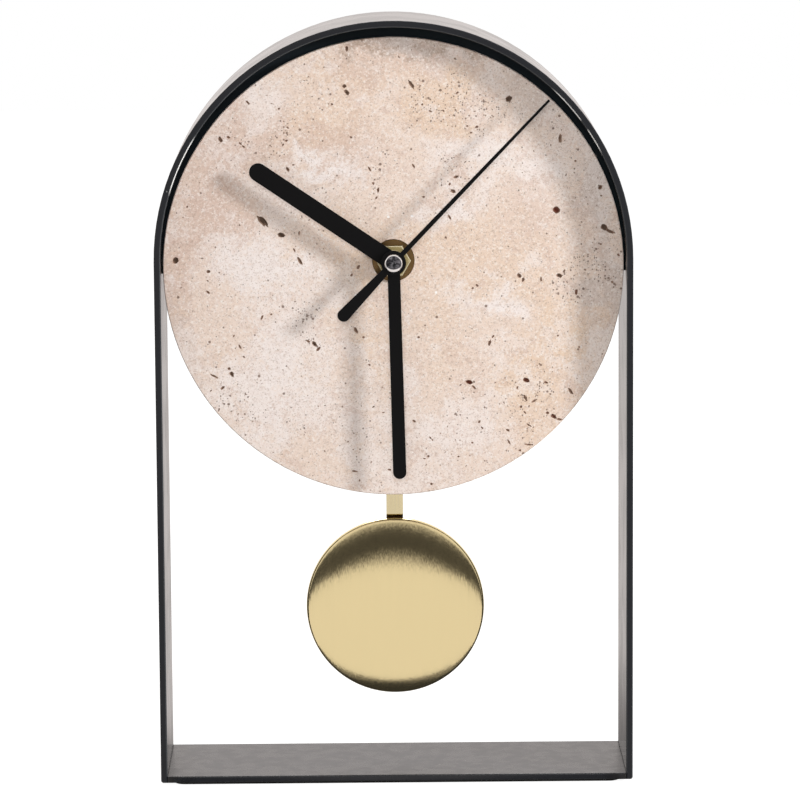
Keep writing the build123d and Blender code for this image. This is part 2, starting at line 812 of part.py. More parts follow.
def coil_bobbin():
    flange = Circle(coil_flange_radius)
    spool = slab(Pos(*magnet_at) * flange, coil_front_y, coil_front_y + coil_flange_thickness)
    spool += rod(magnet_at, coil_core_radius, coil_front_y, coil_back_y)
    return spool + slab(Pos(*magnet_at) * flange, coil_back_y - coil_flange_thickness, coil_back_y)


def pendulum_coil():
    start_y = coil_front_y + coil_flange_thickness
    return ring(magnet_at, winding_radius, coil_core_radius, start_y, coil_back_y - coil_flange_thickness)


def pivot_pin():
    head_y = arm_back_y + arm_clearance
    pin = rod(pivot_at, pivot_pin_radius, drive_back_y, head_y)
    return pin + rod(pivot_at, pivot_head_radius, head_y, head_y + pivot_head_thickness)


def swing_arm():
    bar_length = pivot_at[1] - hook_at[1]
    bar = Pos(0, pivot_at[1] - bar_length / 2) * Rectangle(arm_width, bar_length)
    outline = bar + Pos(*pivot_at) * Circle(arm_eye_radius) + Pos(*hook_at) * Circle(arm_end_radius)
    outline += Pos(*magnet_at) * Circle(magnet_radius + magnet_wall)
    arm = slab(outline, arm_front_y, arm_back_y)
    arm -= rod(pivot_at, pivot_pin_radius + run_clearance, arm_front_y - overrun, arm_back_y + overrun)
    arm -= rod(magnet_at, magnet_radius, arm_front_y - overrun, arm_front_y + magnet_thickness)
    head_y = rod_back_y + rod_slip
    arm += rod(hook_at, hook_peg_radius, arm_back_y, head_y)
    return arm + rod(hook_at, hook_head_radius, head_y, head_y + hook_head_thickness)


def drive_magnet():
    return rod(magnet_at, magnet_radius, arm_front_y, arm_front_y + magnet_thickness)


def pendulum_rod():
    """Brass strip that hangs on the hook and steps back just above the bob."""
    top = hook_at[1] + rod_top_overhang
    bend_top = bob_height + bob_radius + rod_bend_rise
    bend_bottom = bend_top - rod_bend_height
    bottom = bob_height - bob_radius * rod_bottom_share
    front = [(arm_back_y, top), (arm_back_y, bend_top), (bob_back_y, bend_bottom), (bob_back_y, bottom)]
    back = [(y + rod_thickness, z) for y, z in reversed(front)]
    profile = make_face(Polyline(*front, *back, close=True))
    strip = extrude(Plane.YZ.offset(-rod_width / 2) * profile, rod_width)
    strip -= rod(hook_at, hook_peg_radius + rod_slip, arm_back_y - overrun, rod_back_y + overrun)
    for place in rivet_places:
        strip -= rod(place, rivet_radius, bob_back_y - overrun, bob_back_y + rod_thickness + overrun)
    return strip


def bob_form(radius, rim_radius, rise, back_y):
    """Shallow dome that turns into a round rim, flat behind."""
    rim_x = radius - rim_radius
    rim_y = rise - rim_radius
    dome_radius = (rim_x ** 2 + rim_y ** 2 - rim_radius ** 2) / (2 * (rise - 2 * rim_radius))
    centre_y = back_y - rise + dome_radius
    lean = math.asin(rim_x / (dome_radius - rim_radius))
    apex = (0, back_y - rise)
    between = (dome_radius * math.sin(lean / 2), centre_y - dome_radius * math.cos(lean / 2))
    join = (dome_radius * math.sin(lean), centre_y - dome_radius * math.cos(lean))
    dome = ThreePointArc(apex, between, join)
    rim = ThreePointArc(join, (radius, back_y - rim_radius), (rim_x, back_y))
    closing = Polyline((rim_x, back_y), (0, back_y), apex)
    profile = make_face([*dome.edges(), *rim.edges(), *closing.edges()])
    return Pos(0, 0, bob_height) * revolve(profile, axis=Axis.Y)


def bob_shell():
    wall = bob_shell_thickness
    outside = bob_form(bob_radius, bob_rim_radius, bob_dome_rise, bob_back_y)
    inside = bob_form(bob_radius - wall, bob_rim_radius - wall, bob_dome_rise - 2 * wall, bob_back_y - wall)
    opening = rod(bob_at, bob_radius - bob_rim_radius, bob_back_y - bob_back_thickness, bob_back_y + overrun)
    return outside - inside - opening


def bob_back():
    radius = bob_radius - bob_rim_radius
    disc = rod(bob_at, radius, bob_back_y - bob_back_thickness, bob_back_y)
    for place in rivet_places:
        disc -= rod(place, rivet_radius, bob_back_y - bob_back_thickness - overrun, bob_back_y + overrun)
    return disc


def bob_rivets():
    head_y = bob_back_y + rod_thickness
    rivets = []
    for place in rivet_places:
        shank = rod(place, rivet_radius, bob_back_y - bob_back_thickness, head_y)
        rivets.append(shank + rod(place, rivet_head_radius, head_y, head_y + rivet_head_thickness))
    return Compound(children=rivets)


# One STEP file for each sub-part

makers = (
    arch_band, base_plate, base_pad, back_plate, dial_disc,
    threaded_bush, rubber_gasket, dial_washer, hex_nut,
    hour_wheel, minute_pinion, centre_wheel, second_arbor, setting_wheel,
    third_wheel, transfer_wheel, motor_rotor, set_knob,
    hour_hand, minute_hand, second_hand, hand_cap,
    movement_case, rear_cover, drive_cover, train_plate,
    stator_plate, coil_core, motor_coil, circuit_board, quartz_crystal, chip_cover,
    battery_cell, contact_positive, contact_negative,
    coil_bobbin, pendulum_coil, pivot_pin, swing_arm, drive_magnet,
    pendulum_rod, bob_shell, bob_back, bob_rivets,
)

os.makedirs("parts", exist_ok=True)
for maker in makers:
    export_step(maker(), os.path.join("parts", maker.__name__ + ".step"))
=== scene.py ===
# Desk pendulum clock: travertine dial in a black steel arch, brass pendulum below.
# Metres throughout. The front of the clock faces -Y and the floor is z = 0.
import math

import bmesh
import bpy
from mathutils import Matrix, Vector, noise


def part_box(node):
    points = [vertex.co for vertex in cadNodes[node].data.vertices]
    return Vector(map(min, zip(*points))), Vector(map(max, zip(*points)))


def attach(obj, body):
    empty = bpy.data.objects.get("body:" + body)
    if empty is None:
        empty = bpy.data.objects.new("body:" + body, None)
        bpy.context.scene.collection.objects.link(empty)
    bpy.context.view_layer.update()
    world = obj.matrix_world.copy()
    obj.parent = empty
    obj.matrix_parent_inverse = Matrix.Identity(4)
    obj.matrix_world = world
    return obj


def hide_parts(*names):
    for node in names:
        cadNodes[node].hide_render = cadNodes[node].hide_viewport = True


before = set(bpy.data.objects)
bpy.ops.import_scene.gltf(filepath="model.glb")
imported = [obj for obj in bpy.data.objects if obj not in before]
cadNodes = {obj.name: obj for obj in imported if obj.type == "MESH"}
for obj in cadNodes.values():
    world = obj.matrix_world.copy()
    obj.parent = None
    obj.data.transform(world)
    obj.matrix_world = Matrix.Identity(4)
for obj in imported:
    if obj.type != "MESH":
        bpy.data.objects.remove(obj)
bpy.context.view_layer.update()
print("frame loaded,", len(cadNodes), "CAD pieces")

dialLow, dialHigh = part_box("dial_disc")
dialFront = dialLow.y
dialRadius = (dialHigh.x - dialLow.x) / 2
dialThickness = dialHigh.y - dialLow.y
dialCentre = Vector((0, dialFront, (dialHigh.z + dialLow.z) / 2))


def addObject(name, data):
    added = bpy.data.objects.new(name, data)
    bpy.context.scene.collection.objects.link(added)
    return added


def addMesh(name, mesh):
    # a finished bmesh as an object at the origin
    data = bpy.data.meshes.new(name)
    mesh.to_mesh(data)
    mesh.free()
    return addObject(name, data)


# The camera stands where the photograph was taken from
cameraFacts = {
    "place": (-0.0113, -1.698, 0.4008),
    "pitch": 0.150,
    "yaw": 0.0080,
    "roll": -0.0065,
    "focalPixels": 4485.0,
    "picturePixels": 800.0,
    "sensorWidth": 36.0,
    "nearest": 0.05,
    "furthest": 60.0,
}


def makeCamera(facts):
    data = bpy.data.cameras.new("photoCamera")
    data.sensor_width = facts["sensorWidth"]
    data.lens = facts["focalPixels"] * facts["sensorWidth"] / facts["picturePixels"]
    data.clip_start, data.clip_end = facts["nearest"], facts["furthest"]
    pitch, yaw, roll = facts["pitch"], facts["yaw"], facts["roll"]
    forward = Vector((math.sin(yaw) * math.cos(pitch), math.cos(yaw) * math.cos(pitch), -math.sin(pitch)))
    right = Vector((math.cos(yaw), -math.sin(yaw), 0))
    up = right.cross(forward)
    across = right * math.cos(roll) + up * math.sin(roll)
    upright = up * math.cos(roll) - right * math.sin(roll)
    turn = Matrix((across, upright, -forward)).transposed().to_4x4()
    camera = addObject("photoCamera", data)
    camera.matrix_world = Matrix.Translation(facts["place"]) @ turn
    bpy.context.scene.camera = camera


# Short ways to add nodes
def connect(tree, node, inputs):
    # an input takes a link where it is given a socket, and else a value
    for key, value in inputs.items():
        if isinstance(value, bpy.types.NodeSocket):
            tree.links.new(value, node.inputs[key])
        else:
            node.inputs[key].default_value = value


def addNode(tree, kind, inputs=None, **settings):
    node = tree.nodes.new(kind)
    for key, value in settings.items():
        setattr(node, key, value)
    connect(tree, node, inputs or {})
    return node


def calculate(tree, operation, first, second=0.0):
    return addNode(tree, "ShaderNodeMath", {0: first, 1: second}, operation=operation).outputs[0]


def times(tree, product, *others):
    for other in others:
        product = calculate(tree, "MULTIPLY", product, other)
    return product


def vector(tree, operation, first, second=None):
    # the second is a vector, or the number to scale by
    inputs = {0: first}
    if second is not None:
        inputs["Scale" if operation == "SCALE" else 1] = second
    node = addNode(tree, "ShaderNodeVectorMath", inputs, operation=operation)
    return node.outputs["Value" if operation in ("LENGTH", "DISTANCE", "DOT_PRODUCT") else "Vector"]


def fade(tree, value, start, end, low=0.0, high=1.0):
    inputs = {"Value": value, "From Min": start, "From Max": end, "To Min": low, "To Max": high}
    node = addNode(tree, "ShaderNodeMapRange", inputs, interpolation_type="SMOOTHSTEP")
    return node.outputs["Result"]


def blendColour(tree, factor, first, second):
    return addNode(tree, "ShaderNodeMix", {0: factor, 6: first, 7: second}, data_type="RGBA").outputs[2]


def blendNumber(tree, factor, first, second):
    return addNode(tree, "ShaderNodeMix", {0: factor, 2: first, 3: second}, data_type="FLOAT").outputs[0]


def noiseValue(tree, place, scale, detail=3.0, roughness=0.5, distortion=0.0):
    inputs = {"Vector": place, "Scale": scale, "Detail": detail, "Roughness": roughness,
              "Distortion": distortion}
    return addNode(tree, "ShaderNodeTexNoise", inputs).outputs["Fac"]


def noisePush(tree, place, scale, detail, roughness, most):
    # a small push whose direction changes from place to place
    wander = addNode(tree, "ShaderNodeTexNoise", {"Vector": place, "Scale": scale, "Detail": detail,
                                                  "Roughness": roughness}).outputs["Color"]
    return vector(tree, "SCALE", vector(tree, "SUBTRACT", wander, (0.5, 0.5, 0.5)), most)


def objectPlace(tree, stretch=(1, 1, 1)):
    where = addNode(tree, "ShaderNodeTexCoord").outputs["Object"]
    return addNode(tree, "ShaderNodeMapping", {"Vector": where, "Scale": stretch}).outputs[0]


def splitPlace(tree, place=None):
    # X, Y and Z of a point, or of the surface itself
    place = place or addNode(tree, "ShaderNodeTexCoord").outputs["Object"]
    return addNode(tree, "ShaderNodeSeparateXYZ", {0: place}).outputs


def uprightPlace(tree, x, z):
    return addNode(tree, "ShaderNodeCombineXYZ", {"X": x, "Z": z}).outputs[0]


def addBump(tree, height, depth, strength=1.0, normal=None):
    inputs = {"Height": height, "Distance": depth, "Strength": strength}
    if normal is not None:
        inputs["Normal"] = normal
    return addNode(tree, "ShaderNodeBump", inputs).outputs[0]


def colour(red, green, blue):
    # screen values from 0 to 255 as the linear colour that a shader takes
    def linear(value):
        share = value / 255
        return share / 12.92 if share <= 0.04045 else ((share + 0.055) / 1.055) ** 2.4
    return (linear(red), linear(green), linear(blue), 1.0)


def clearTree(owner):
    owner.use_nodes = True
    owner.node_tree.nodes.clear()
    return owner.node_tree


def startMaterial(name):
    material = bpy.data.materials.new(name)
    tree = clearTree(material)
    shader = addNode(tree, "ShaderNodeBsdfPrincipled")
    addNode(tree, "ShaderNodeOutputMaterial", {0: shader.outputs[0]})
    return material, tree, shader


def addSocket(tree, label, kind, direction="INPUT", value=None):
    socket = tree.interface.new_socket(label, in_out=direction, socket_type="NodeSocket" + kind)
    if value is not None:
        socket.default_value = value


# Effects that several finishes share: where the mottling starts and is full, and between which cosines
# of rounded and flat normal an edge shows
effectFacts = {"mottle": (0.3, 0.7), "edge": (0.998, 0.85), "edgeSamples": 6}


def startGroup(name, inputs, outputs):
    # an input without a value takes a place
    group = bpy.data.node_groups.new(name, "ShaderNodeTree")
    for label, value in inputs.items():
        addSocket(group, label, "Vector" if value is None else "Float", value=value)
    for label, kind in outputs.items():
        addSocket(group, label, kind, "OUTPUT")
    return group, group.nodes.new("NodeGroupInput").outputs, group.nodes.new("NodeGroupOutput")


def makeGrainGroup():
    # fine and coarse unevenness of a surface, as a height and as a mask
    inputs = {"Place": None, "Fine": 3000.0, "Coarse": 60.0, "Share": 0.5}
    group, given, result = startGroup("surfaceGrain", inputs, {"Height": "Float", "Mottle": "Float"})
    fine = noiseValue(group, given["Place"], given["Fine"], 2.0)
    coarse = noiseValue(group, given["Place"], given["Coarse"], 4.0)
    height = calculate(group, "ADD", fine, times(group, coarse, given["Share"]))
    connect(group, result, {"Height": height, "Mottle": fade(group, coarse, *effectFacts["mottle"])})
    return group


def chosenCells(tree, place, scale, rarity):
    # a pattern of cells: the distance to the middle of each, and 1 in the few that are chosen
    cells = addNode(tree, "ShaderNodeTexVoronoi", {"Vector": place, "Scale": scale}).outputs
    pick = addNode(tree, "ShaderNodeSeparateColor", {0: cells["Color"]}).outputs[0]
    return cells["Distance"], calculate(tree, "GREATER_THAN", pick, rarity)


def makeDustGroup():
    # sparse specks of lint and dust
    inputs = {"Place": None, "Scale": 400.0, "Size": 0.12, "Rarity": 0.9}
    group, given, result = startGroup("dustSpecks", inputs, {"Mask": "Float"})
    distance, chosen = chosenCells(group, given["Place"], given["Scale"], given["Rarity"])
    near = calculate(group, "LESS_THAN", distance, given["Size"])
    connect(group, result, {"Mask": times(group, chosen, near)})
    return group


def makeEdgeGroup():
    # rounded normal along sharp edges, and how near a point is to one
    group, given, result = startGroup("softEdges", {"Radius": 0.0003}, {"Normal": "Vector", "Mask": "Float"})
    rounded = addNode(group, "ShaderNodeBevel", {"Radius": given["Radius"]},
                      samples=effectFacts["edgeSamples"]).outputs[0]
    flat = addNode(group, "ShaderNodeNewGeometry").outputs["Normal"]
    along = vector(group, "DOT_PRODUCT", rounded, flat)
    connect(group, result, {"Normal": rounded, "Mask": fade(group, along, *effectFacts["edge"])})
    return group


grainGroup = makeGrainGroup()
dustGroup = makeDustGroup()
edgeGroup = makeEdgeGroup()


def useGroup(tree, group, inputs):
    return addNode(tree, "ShaderNodeGroup", inputs, node_tree=group).outputs


# A painted highlight runs along the inner edge of the band's front face, and painted reflections make it
# bright on two stretches, given by the sine of the angle above the legs: where each starts, is full, ebbs
# and ends. The right one has a gap. "beside" and "front" say how far out and back the painted highlight line
# is full and ends.
edgeHighlightFacts = {"beside": (0.0003, 0.00048), "front": (0.0002, 0.0004), "colour": colour(60, 63, 66),
             "bright": colour(236, 236, 234), "left": (0.28, 0.33, 0.50, 0.55),
             "right": (0.45, 0.49, 0.70, 0.74), "gap": 0.577, "gapHalf": (0.015, 0.03)}


def addEdgeHighlight(tree, base):
    low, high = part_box("arch_band")
    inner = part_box("base_plate")[1]
    x, y, z = splitPlace(tree)
    upward = calculate(tree, "SUBTRACT", z, high.z - (high.x - low.x) / 2)
    upward = calculate(tree, "MAXIMUM", upward, 0.0)
    reach = vector(tree, "LENGTH", uprightPlace(tree, x, upward))
    full, end = edgeHighlightFacts["beside"]
    beside = fade(tree, reach, inner.x + full, inner.x + end, 1.0, 0.0)
    start, end = edgeHighlightFacts["front"]
    onFront = fade(tree, y, low.y + start, low.y + end, 1.0, 0.0)
    # painted highlight: a thin pale line along the inner front edge of the band
    line = times(tree, beside, onFront, calculate(tree, "GREATER_THAN", z, inner.z))
    sine = calculate(tree, "DIVIDE", upward, reach)
    # painted reflections: two stretches where the highlight line is bright
    paintedReflection = 0.0
    for side, stretch in (("LESS_THAN", "left"), ("GREATER_THAN", "right")):
        start, full, ebb, end = edgeHighlightFacts[stretch]
        bright = times(tree, fade(tree, sine, start, full), fade(tree, sine, ebb, end, 1.0, 0.0),
                       calculate(tree, side, x, 0.0))
        paintedReflection = calculate(tree, "MAXIMUM", paintedReflection, bright)
    fromGap = calculate(tree, "ABSOLUTE", calculate(tree, "SUBTRACT", sine, edgeHighlightFacts["gap"]))
    paintedReflection = times(tree, paintedReflection, fade(tree, fromGap, *edgeHighlightFacts["gapHalf"]))
    shade = blendColour(tree, paintedReflection, edgeHighlightFacts["colour"], edgeHighlightFacts["bright"])
    return blendColour(tree, line, base, shade)


# The joint at each end of the base plate is dark, and the plate is darker in clouds near each end. The
# reaches say how far from the end each of the two starts and is full.
seamFacts = {"reaches": ((0.00117, 0.0009), (0.012, 0.002)), "colour": colour(8, 9, 11),
             "nearEndColour": colour(14, 15, 17), "cloud": (260.0, 5.0, 0.65), "cloudShare": (0.36, 0.54)}


def addSeam(tree, base):
    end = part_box("base_plate")[1].x
    aside = calculate(tree, "ABSOLUTE", splitPlace(tree)["X"])
    dark, nearEnd = [fade(tree, aside, end - start, end - full) for start, full in seamFacts["reaches"]]
    cloud = fade(tree, noiseValue(tree, objectPlace(tree), *seamFacts["cloud"]), *seamFacts["cloudShare"])
    shade = blendColour(tree, dark, base, seamFacts["colour"])
    return blendColour(tree, times(tree, nearEnd, cloud), shade, seamFacts["nearEndColour"])


# Honed travertine. Patches, veils and holes were read in the photograph, in its pixels.
stoneFacts = {
    "centrePixel": (396.0, 266.8),
    "pixelAcross": 0.0003783,
    "pixelUp": 0.0003826,
    "body": colour(228, 209, 196),
    "veil": colour(238, 229, 226),
    "warm": colour(224, 198, 174),
    "blush": colour(204, 177, 163),
    "grey": colour(205, 192, 186),
    # painted shade colour, used under the top of the band
    "shade": colour(176, 154, 138),
    "speckLight": colour(243, 236, 232),
    "speckDark": colour(166, 140, 124),
    "pore": colour(104, 80, 66),
    "holeWall": colour(158, 130, 112),
    "holeFloor": colour(84, 66, 54),
    "rustFloor": colour(96, 46, 32),
    "crystal": colour(252, 250, 250),
    "roughness": 0.55,
    "bend": (55.0, 5.0, 0.62, 0.055),
    "grit": (620.0, 5.0, 0.8),
    "gritStrength": 3.0,
    "patchEdge": (0.25, 1.45),
    "crowd": (70.0, 3.0, 0.55),
    "crowdShare": (0.5, 0.8, 0.0, 0.35),
    "clusterEdge": (0.5, 1.3),
    "crowdGain": 0.24,
    "poreEdge": 1.6,
    "poreShare": 0.8,
    "poreDepth": 0.00012,
    "poreStrength": 0.7,
    "speckHeight": 0.12,
    "wallDepths": (0.00002, 0.0001),
    "floorDepths": (0.0002, 0.0011),
    "crystals": {"Scale": 560.0, "Size": 0.3, "Rarity": 0.975},
    "crystalReach": (0.012, 0.05, 0.8, 0.0),
    "rimMargin": 0.0006,
    "backMargin": 0.0002,
}
# centre in pixels, half size across and up in pixels, which colour, how strong
stonePatches = [
    ((215, 200), (60, 75), "blush", 0.75),
    ((178, 290), (22, 60), "blush", 0.6),
    ((262, 128), (55, 32), "blush", 0.45),
    ((330, 125), (48, 38), "warm", 0.6),
    ((345, 148), (32, 30), "blush", 0.55),
    ((322, 163), (38, 14), "veil", 0.95),
    ((270, 262), (50, 36), "veil", 0.9),
    ((300, 330), (55, 40), "veil", 0.6),
    ((262, 392), (60, 50), "veil", 0.75),
    ((252, 90), (36, 20), "veil", 0.5),
    ((345, 70), (70, 18), "warm", 0.6),
    ((440, 108), (38, 42), "warm", 0.75),
    ((412, 240), (60, 26), "warm", 0.55),
    ((352, 275), (26, 38), "warm", 0.7),
    ((378, 350), (16, 40), "warm", 0.65),
    ((470, 160), (42, 26), "veil", 0.7),
    ((455, 210), (24, 18), "veil", 0.85),
    ((540, 170), (38, 28), "veil", 0.7),
    ((598, 190), (18, 60), "grey", 0.7),
    ((600, 280), (14, 60), "grey", 0.65),
    ((530, 215), (34, 28), "blush", 0.35),
    ((495, 270), (80, 46), "warm", 0.5),
    ((500, 305), (30, 16), "veil", 0.9),
    ((560, 330), (32, 50), "warm", 0.8),
    ((530, 395), (42, 48), "warm", 0.8),
    ((440, 320), (40, 50), "warm", 0.4),
    ((430, 430), (80, 30), "veil", 0.35),
    ((352, 425), (16, 46), "grey", 0.5),
    ((182, 340), (22, 44), "grey", 0.35),
    # painted shade under the top of the band: these two patches darken the dial below the lip, over the
    # stone's own brown there
    ((395, 60), (110, 24), "blush", 0.45),
    ((415, 41), (80, 13), "shade", 1.0),
    ((546, 92), (40, 30), "grey", 0.5),
]
# noise over the patches: on bent or plain places; scale, detail, roughness and distortion; where it
# starts, where it is full and how strong it is then; which colour. The last is the finest.
stoneLayers = [
    ("bent", (42.0, 8.0, 0.74), (0.49, 0.57, 0.46), "veil"),
    ("bent", (95.0, 8.0, 0.76), (0.52, 0.62, 0.5), "blush"),
    ("bent", (150.0, 7.0, 0.78, 0.4), (0.54, 0.66, 0.4), "warm"),
    ("plain", (520.0, 5.0, 0.75), (0.50, 0.82, 0.6), "speckDark"),
    ("plain", (1150.0, 3.0, 0.7), (0.47, 0.74, 0.8), "speckLight"),
    ("plain", (1900.0, 2.0, 0.6), (0.52, 0.76, 0.75), "speckDark"),
]
# centre and half size in pixels of the clusters of pores
stoneClusters = [
    ((284, 135), (18, 13)), ((316, 190), (14, 12)), ((440, 96), (26, 20)), ((478, 116), (22, 22)),
    ((374, 185), (9, 26)), ((310, 328), (22, 20)), ((536, 402), (20, 28)), ((586, 272), (18, 22)),
    ((246, 142), (14, 8)), ((458, 182), (9, 12)), ((500, 420), (20, 14)), ((236, 395), (22, 16)),
]
# scale, radius and rarity of the pores too small to model
stonePores = [(1250.0, 0.24, 0.985), (760.0, 0.2, 0.985), (430.0, 0.17, 0.98)]
# centre and radius in pixels of the spots where the holes are rusty
stoneRust = [((558, 211), 9), ((471, 382), 9), ((528, 380), 9), ((560, 418), 12), ((548, 383), 8),
             ((578, 293), 8)]


def dialPlace(pixel):
    # a pixel of the photograph as X and Z on the dial's face
    across, down = pixel
    return ((across - stoneFacts["centrePixel"][0]) * stoneFacts["pixelAcross"],
            dialCentre.z + (stoneFacts["centrePixel"][1] - down) * stoneFacts["pixelUp"])


def ovalReach(tree, place, pixel, half):
    # how far out a place lies: 0 in the middle of an oval and 1 on its border
    across, up = dialPlace(pixel)
    moved = vector(tree, "ADD", place, (-across, 0, -up))
    scale = (1 / (half[0] * stoneFacts["pixelAcross"]), 0.0, 1 / (half[1] * stoneFacts["pixelUp"]))
    return vector(tree, "LENGTH", vector(tree, "MULTIPLY", moved, scale))


def addPatches(tree, facts, place, bent):
    # grit breaks up the border of each patch
    grit = calculate(tree, "SUBTRACT", noiseValue(tree, place, *facts["grit"]), 0.5)
    grit = times(tree, grit, facts["gritStrength"])
    body = facts["body"]
    for centre, half, shade, strength in stonePatches:
        away = calculate(tree, "ADD", ovalReach(tree, bent, centre, half), grit)
        body = blendColour(tree, fade(tree, away, *facts["patchEdge"], strength, 0.0), body, facts[shade])
    for where, texture, (start, full, most), shade in stoneLayers:
        layer = noiseValue(tree, bent if where == "bent" else place, *texture)
        body = blendColour(tree, fade(tree, layer, start, full, 0.0, most), body, facts[shade])
    return body, layer


def poreMask(tree, facts, place, bent):
    # pores stand in loose clusters, with a few between them
    crowd = fade(tree, noiseValue(tree, place, *facts["crowd"]), *facts["crowdShare"])
    for centre, half in stoneClusters:
        reach = ovalReach(tree, bent, centre, half)
        crowd = calculate(tree, "MAXIMUM", crowd, fade(tree, reach, *facts["clusterEdge"], 1.0, 0.0))
    pores = 0.0
    for scale, size, rarity in stonePores:
        limit = fade(tree, crowd, 0.0, 1.0, rarity, rarity - facts["crowdGain"])
        distance, chosen = chosenCells(tree, place, scale, limit)
        found = times(tree, chosen, fade(tree, distance, size, size * facts["poreEdge"], 1.0, 0.0))
        pores = calculate(tree, "MAXIMUM", pores, found)
    return pores


def paintHoles(tree, facts, body, depth, inside, flat):
    # inside a hole the stone is painted darker with depth, partly the pit's own brown and partly painted
    # shade, and rusty in some of them
    rust = facts["holeFloor"]
    for centre, size in stoneRust:
        across, up = dialPlace(centre)
        away = vector(tree, "DISTANCE", flat, (across, 0, up - dialCentre.z))
        near = calculate(tree, "LESS_THAN", away, size * facts["pixelAcross"])
        rust = blendColour(tree, near, rust, facts["rustFloor"])
    wall = times(tree, fade(tree, depth, *facts["wallDepths"]), inside)
    floor = times(tree, fade(tree, depth, *facts["floorDepths"]), inside)
    return blendColour(tree, floor, blendColour(tree, wall, body, facts["holeWall"]), rust)


def makeStone(name, facts):
    material, tree, shader = startMaterial(name)
    place = objectPlace(tree)
    bent = vector(tree, "ADD", place, noisePush(tree, place, *facts["bend"]))
    body, speck = addPatches(tree, facts, place, bent)
    pores = poreMask(tree, facts, place, bent)
    body = blendColour(tree, times(tree, pores, facts["poreShare"]), body, facts["pore"])
    x, y, z = splitPlace(tree)
    depth = calculate(tree, "SUBTRACT", y, dialFront)
    flat = uprightPlace(tree, x, calculate(tree, "SUBTRACT", z, dialCentre.z))
    reach = vector(tree, "LENGTH", flat)
    inside = times(tree, calculate(tree, "LESS_THAN", reach, dialRadius - facts["rimMargin"]),
                   calculate(tree, "LESS_THAN", depth, dialThickness - facts["backMargin"]))
    # a few white crystals round the middle of the dial
    crystals = useGroup(tree, dustGroup, {"Place": place, **facts["crystals"]})
    shining = times(tree, crystals["Mask"], fade(tree, reach, *facts["crystalReach"]))
    body = blendColour(tree, shining, body, facts["crystal"])
    body = paintHoles(tree, facts, body, depth, inside, flat)
    height = calculate(tree, "SUBTRACT", times(tree, speck, facts["speckHeight"]), pores)
    connect(tree, shader, {"Base Color": body, "Roughness": facts["roughness"],
                           "Normal": addBump(tree, height, facts["poreDepth"], facts["poreStrength"])})
    return material


# painted reflection on the cap: the two dark circles that leave the bright rim of the cap widest below: rise
# and radius, in its radii
capFacts = {"circles": ((0.0, 0.80), (0.5, 1.12)), "soft": 0.06, "cloud": (700.0, 4.0, 0.65, 0.6),
            "cloudShare": (0.40, 0.68), "dark": colour(30, 31, 34), "pale": colour(128, 128, 134)}
# painted shade on the rod's bend, in the colour "lacquer": from the top of the bob up, where it starts and
# where it is full, at either end
rodFacts = {"ends": ((0.0012, 0.0009), (-0.0012, -0.0008)), "lacquer": colour(74, 56, 36)}


def paintCapReflection(tree, base):
    # painted reflection: the flat of the cap is painted dark and cloudy inside its bright rim, where the
    # chrome mirrors dark surroundings
    place = splitPlace(tree)
    low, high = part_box("hand_cap")
    centre = (low + high) / 2
    radius = (high.x - low.x) / 2
    aside = calculate(tree, "SUBTRACT", place["X"], centre.x)
    upward = calculate(tree, "SUBTRACT", place["Z"], centre.z)
    middle = 1.0
    for rise, size in capFacts["circles"]:
        shifted = calculate(tree, "SUBTRACT", upward, radius * rise)
        reach = vector(tree, "LENGTH", uprightPlace(tree, aside, shifted))
        circle = fade(tree, reach, radius * size, radius * (size + capFacts["soft"]), 1.0, 0.0)
        middle = times(tree, circle, middle)
    cloud = fade(tree, noiseValue(tree, objectPlace(tree), *capFacts["cloud"]), *capFacts["cloudShare"])
    shade = blendColour(tree, cloud, capFacts["dark"], capFacts["pale"])
    return blendColour(tree, middle, base, shade)


def paintRodShade(tree, base):
    # painted shade: the step just above the bob is painted dark where shade falls on it
    z = splitPlace(tree)["Z"]
    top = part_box("bob_shell")[1].z
    near = times(tree, *[fade(tree, z, top + start, top + full) for start, full in rodFacts["ends"]])
    return blendColour(tree, near, base, rodFacts["lacquer"])


# what is painted over the base colour of some finishes: the band's painted edge highlight, the base plate's
# dark joints, the cap's painted reflection and the rod's painted shade
extras = {"frame_paint": addEdgeHighlight, "base_paint": addSeam, "cap_chrome": paintCapReflection, "rod_brass": paintRodShade}

# Grained finishes. Each takes the usual values of all and of its kind, and changes some.
surfaceUsual = {"brush": (1, 1, 1), "metallic": 0.0, "specular": 0.5, "anisotropy": 0.0,
                "edgeFade": (0.02, 0.2)}
# powder coat of the steel: black, satin, and pale where light grazes it; matt on the plate behind the dial
paintUsual = {"fine": 5200.0, "coarse": 55.0, "share": 0.6, "depth": 0.00001, "strength": 0.6,
              "wornColour": colour(96, 98, 100), "dust": 1.0, "dustScale": 260.0, "dustSize": 0.07,
              "dustRarity": 0.93}
paintFacts = {
    "frame_paint": {"colour": colour(12, 17, 24), "roughness": (0.09, 0.15), "specular": 0.34,
                    "depth": 0.000004, "edge": 0.0004, "wear": 0.35, "dustColour": colour(110, 110, 110)},
    "base_paint": {"colour": colour(26, 28, 33), "roughness": (0.26, 0.32), "specular": 0.44, "fine": 3200.0,
                   "coarse": 190.0, "edge": 0.0005, "wear": 0.5, "dustScale": 300.0,
                   "dustColour": colour(120, 116, 112)},
    "plate_paint": {"colour": colour(29, 35, 39), "wornColour": colour(60, 60, 62), "roughness": (0.6, 0.75),
                    "specular": 0.1, "edge": 0.0002, "wear": 0.2, "dustColour": colour(70, 70, 70)},
}
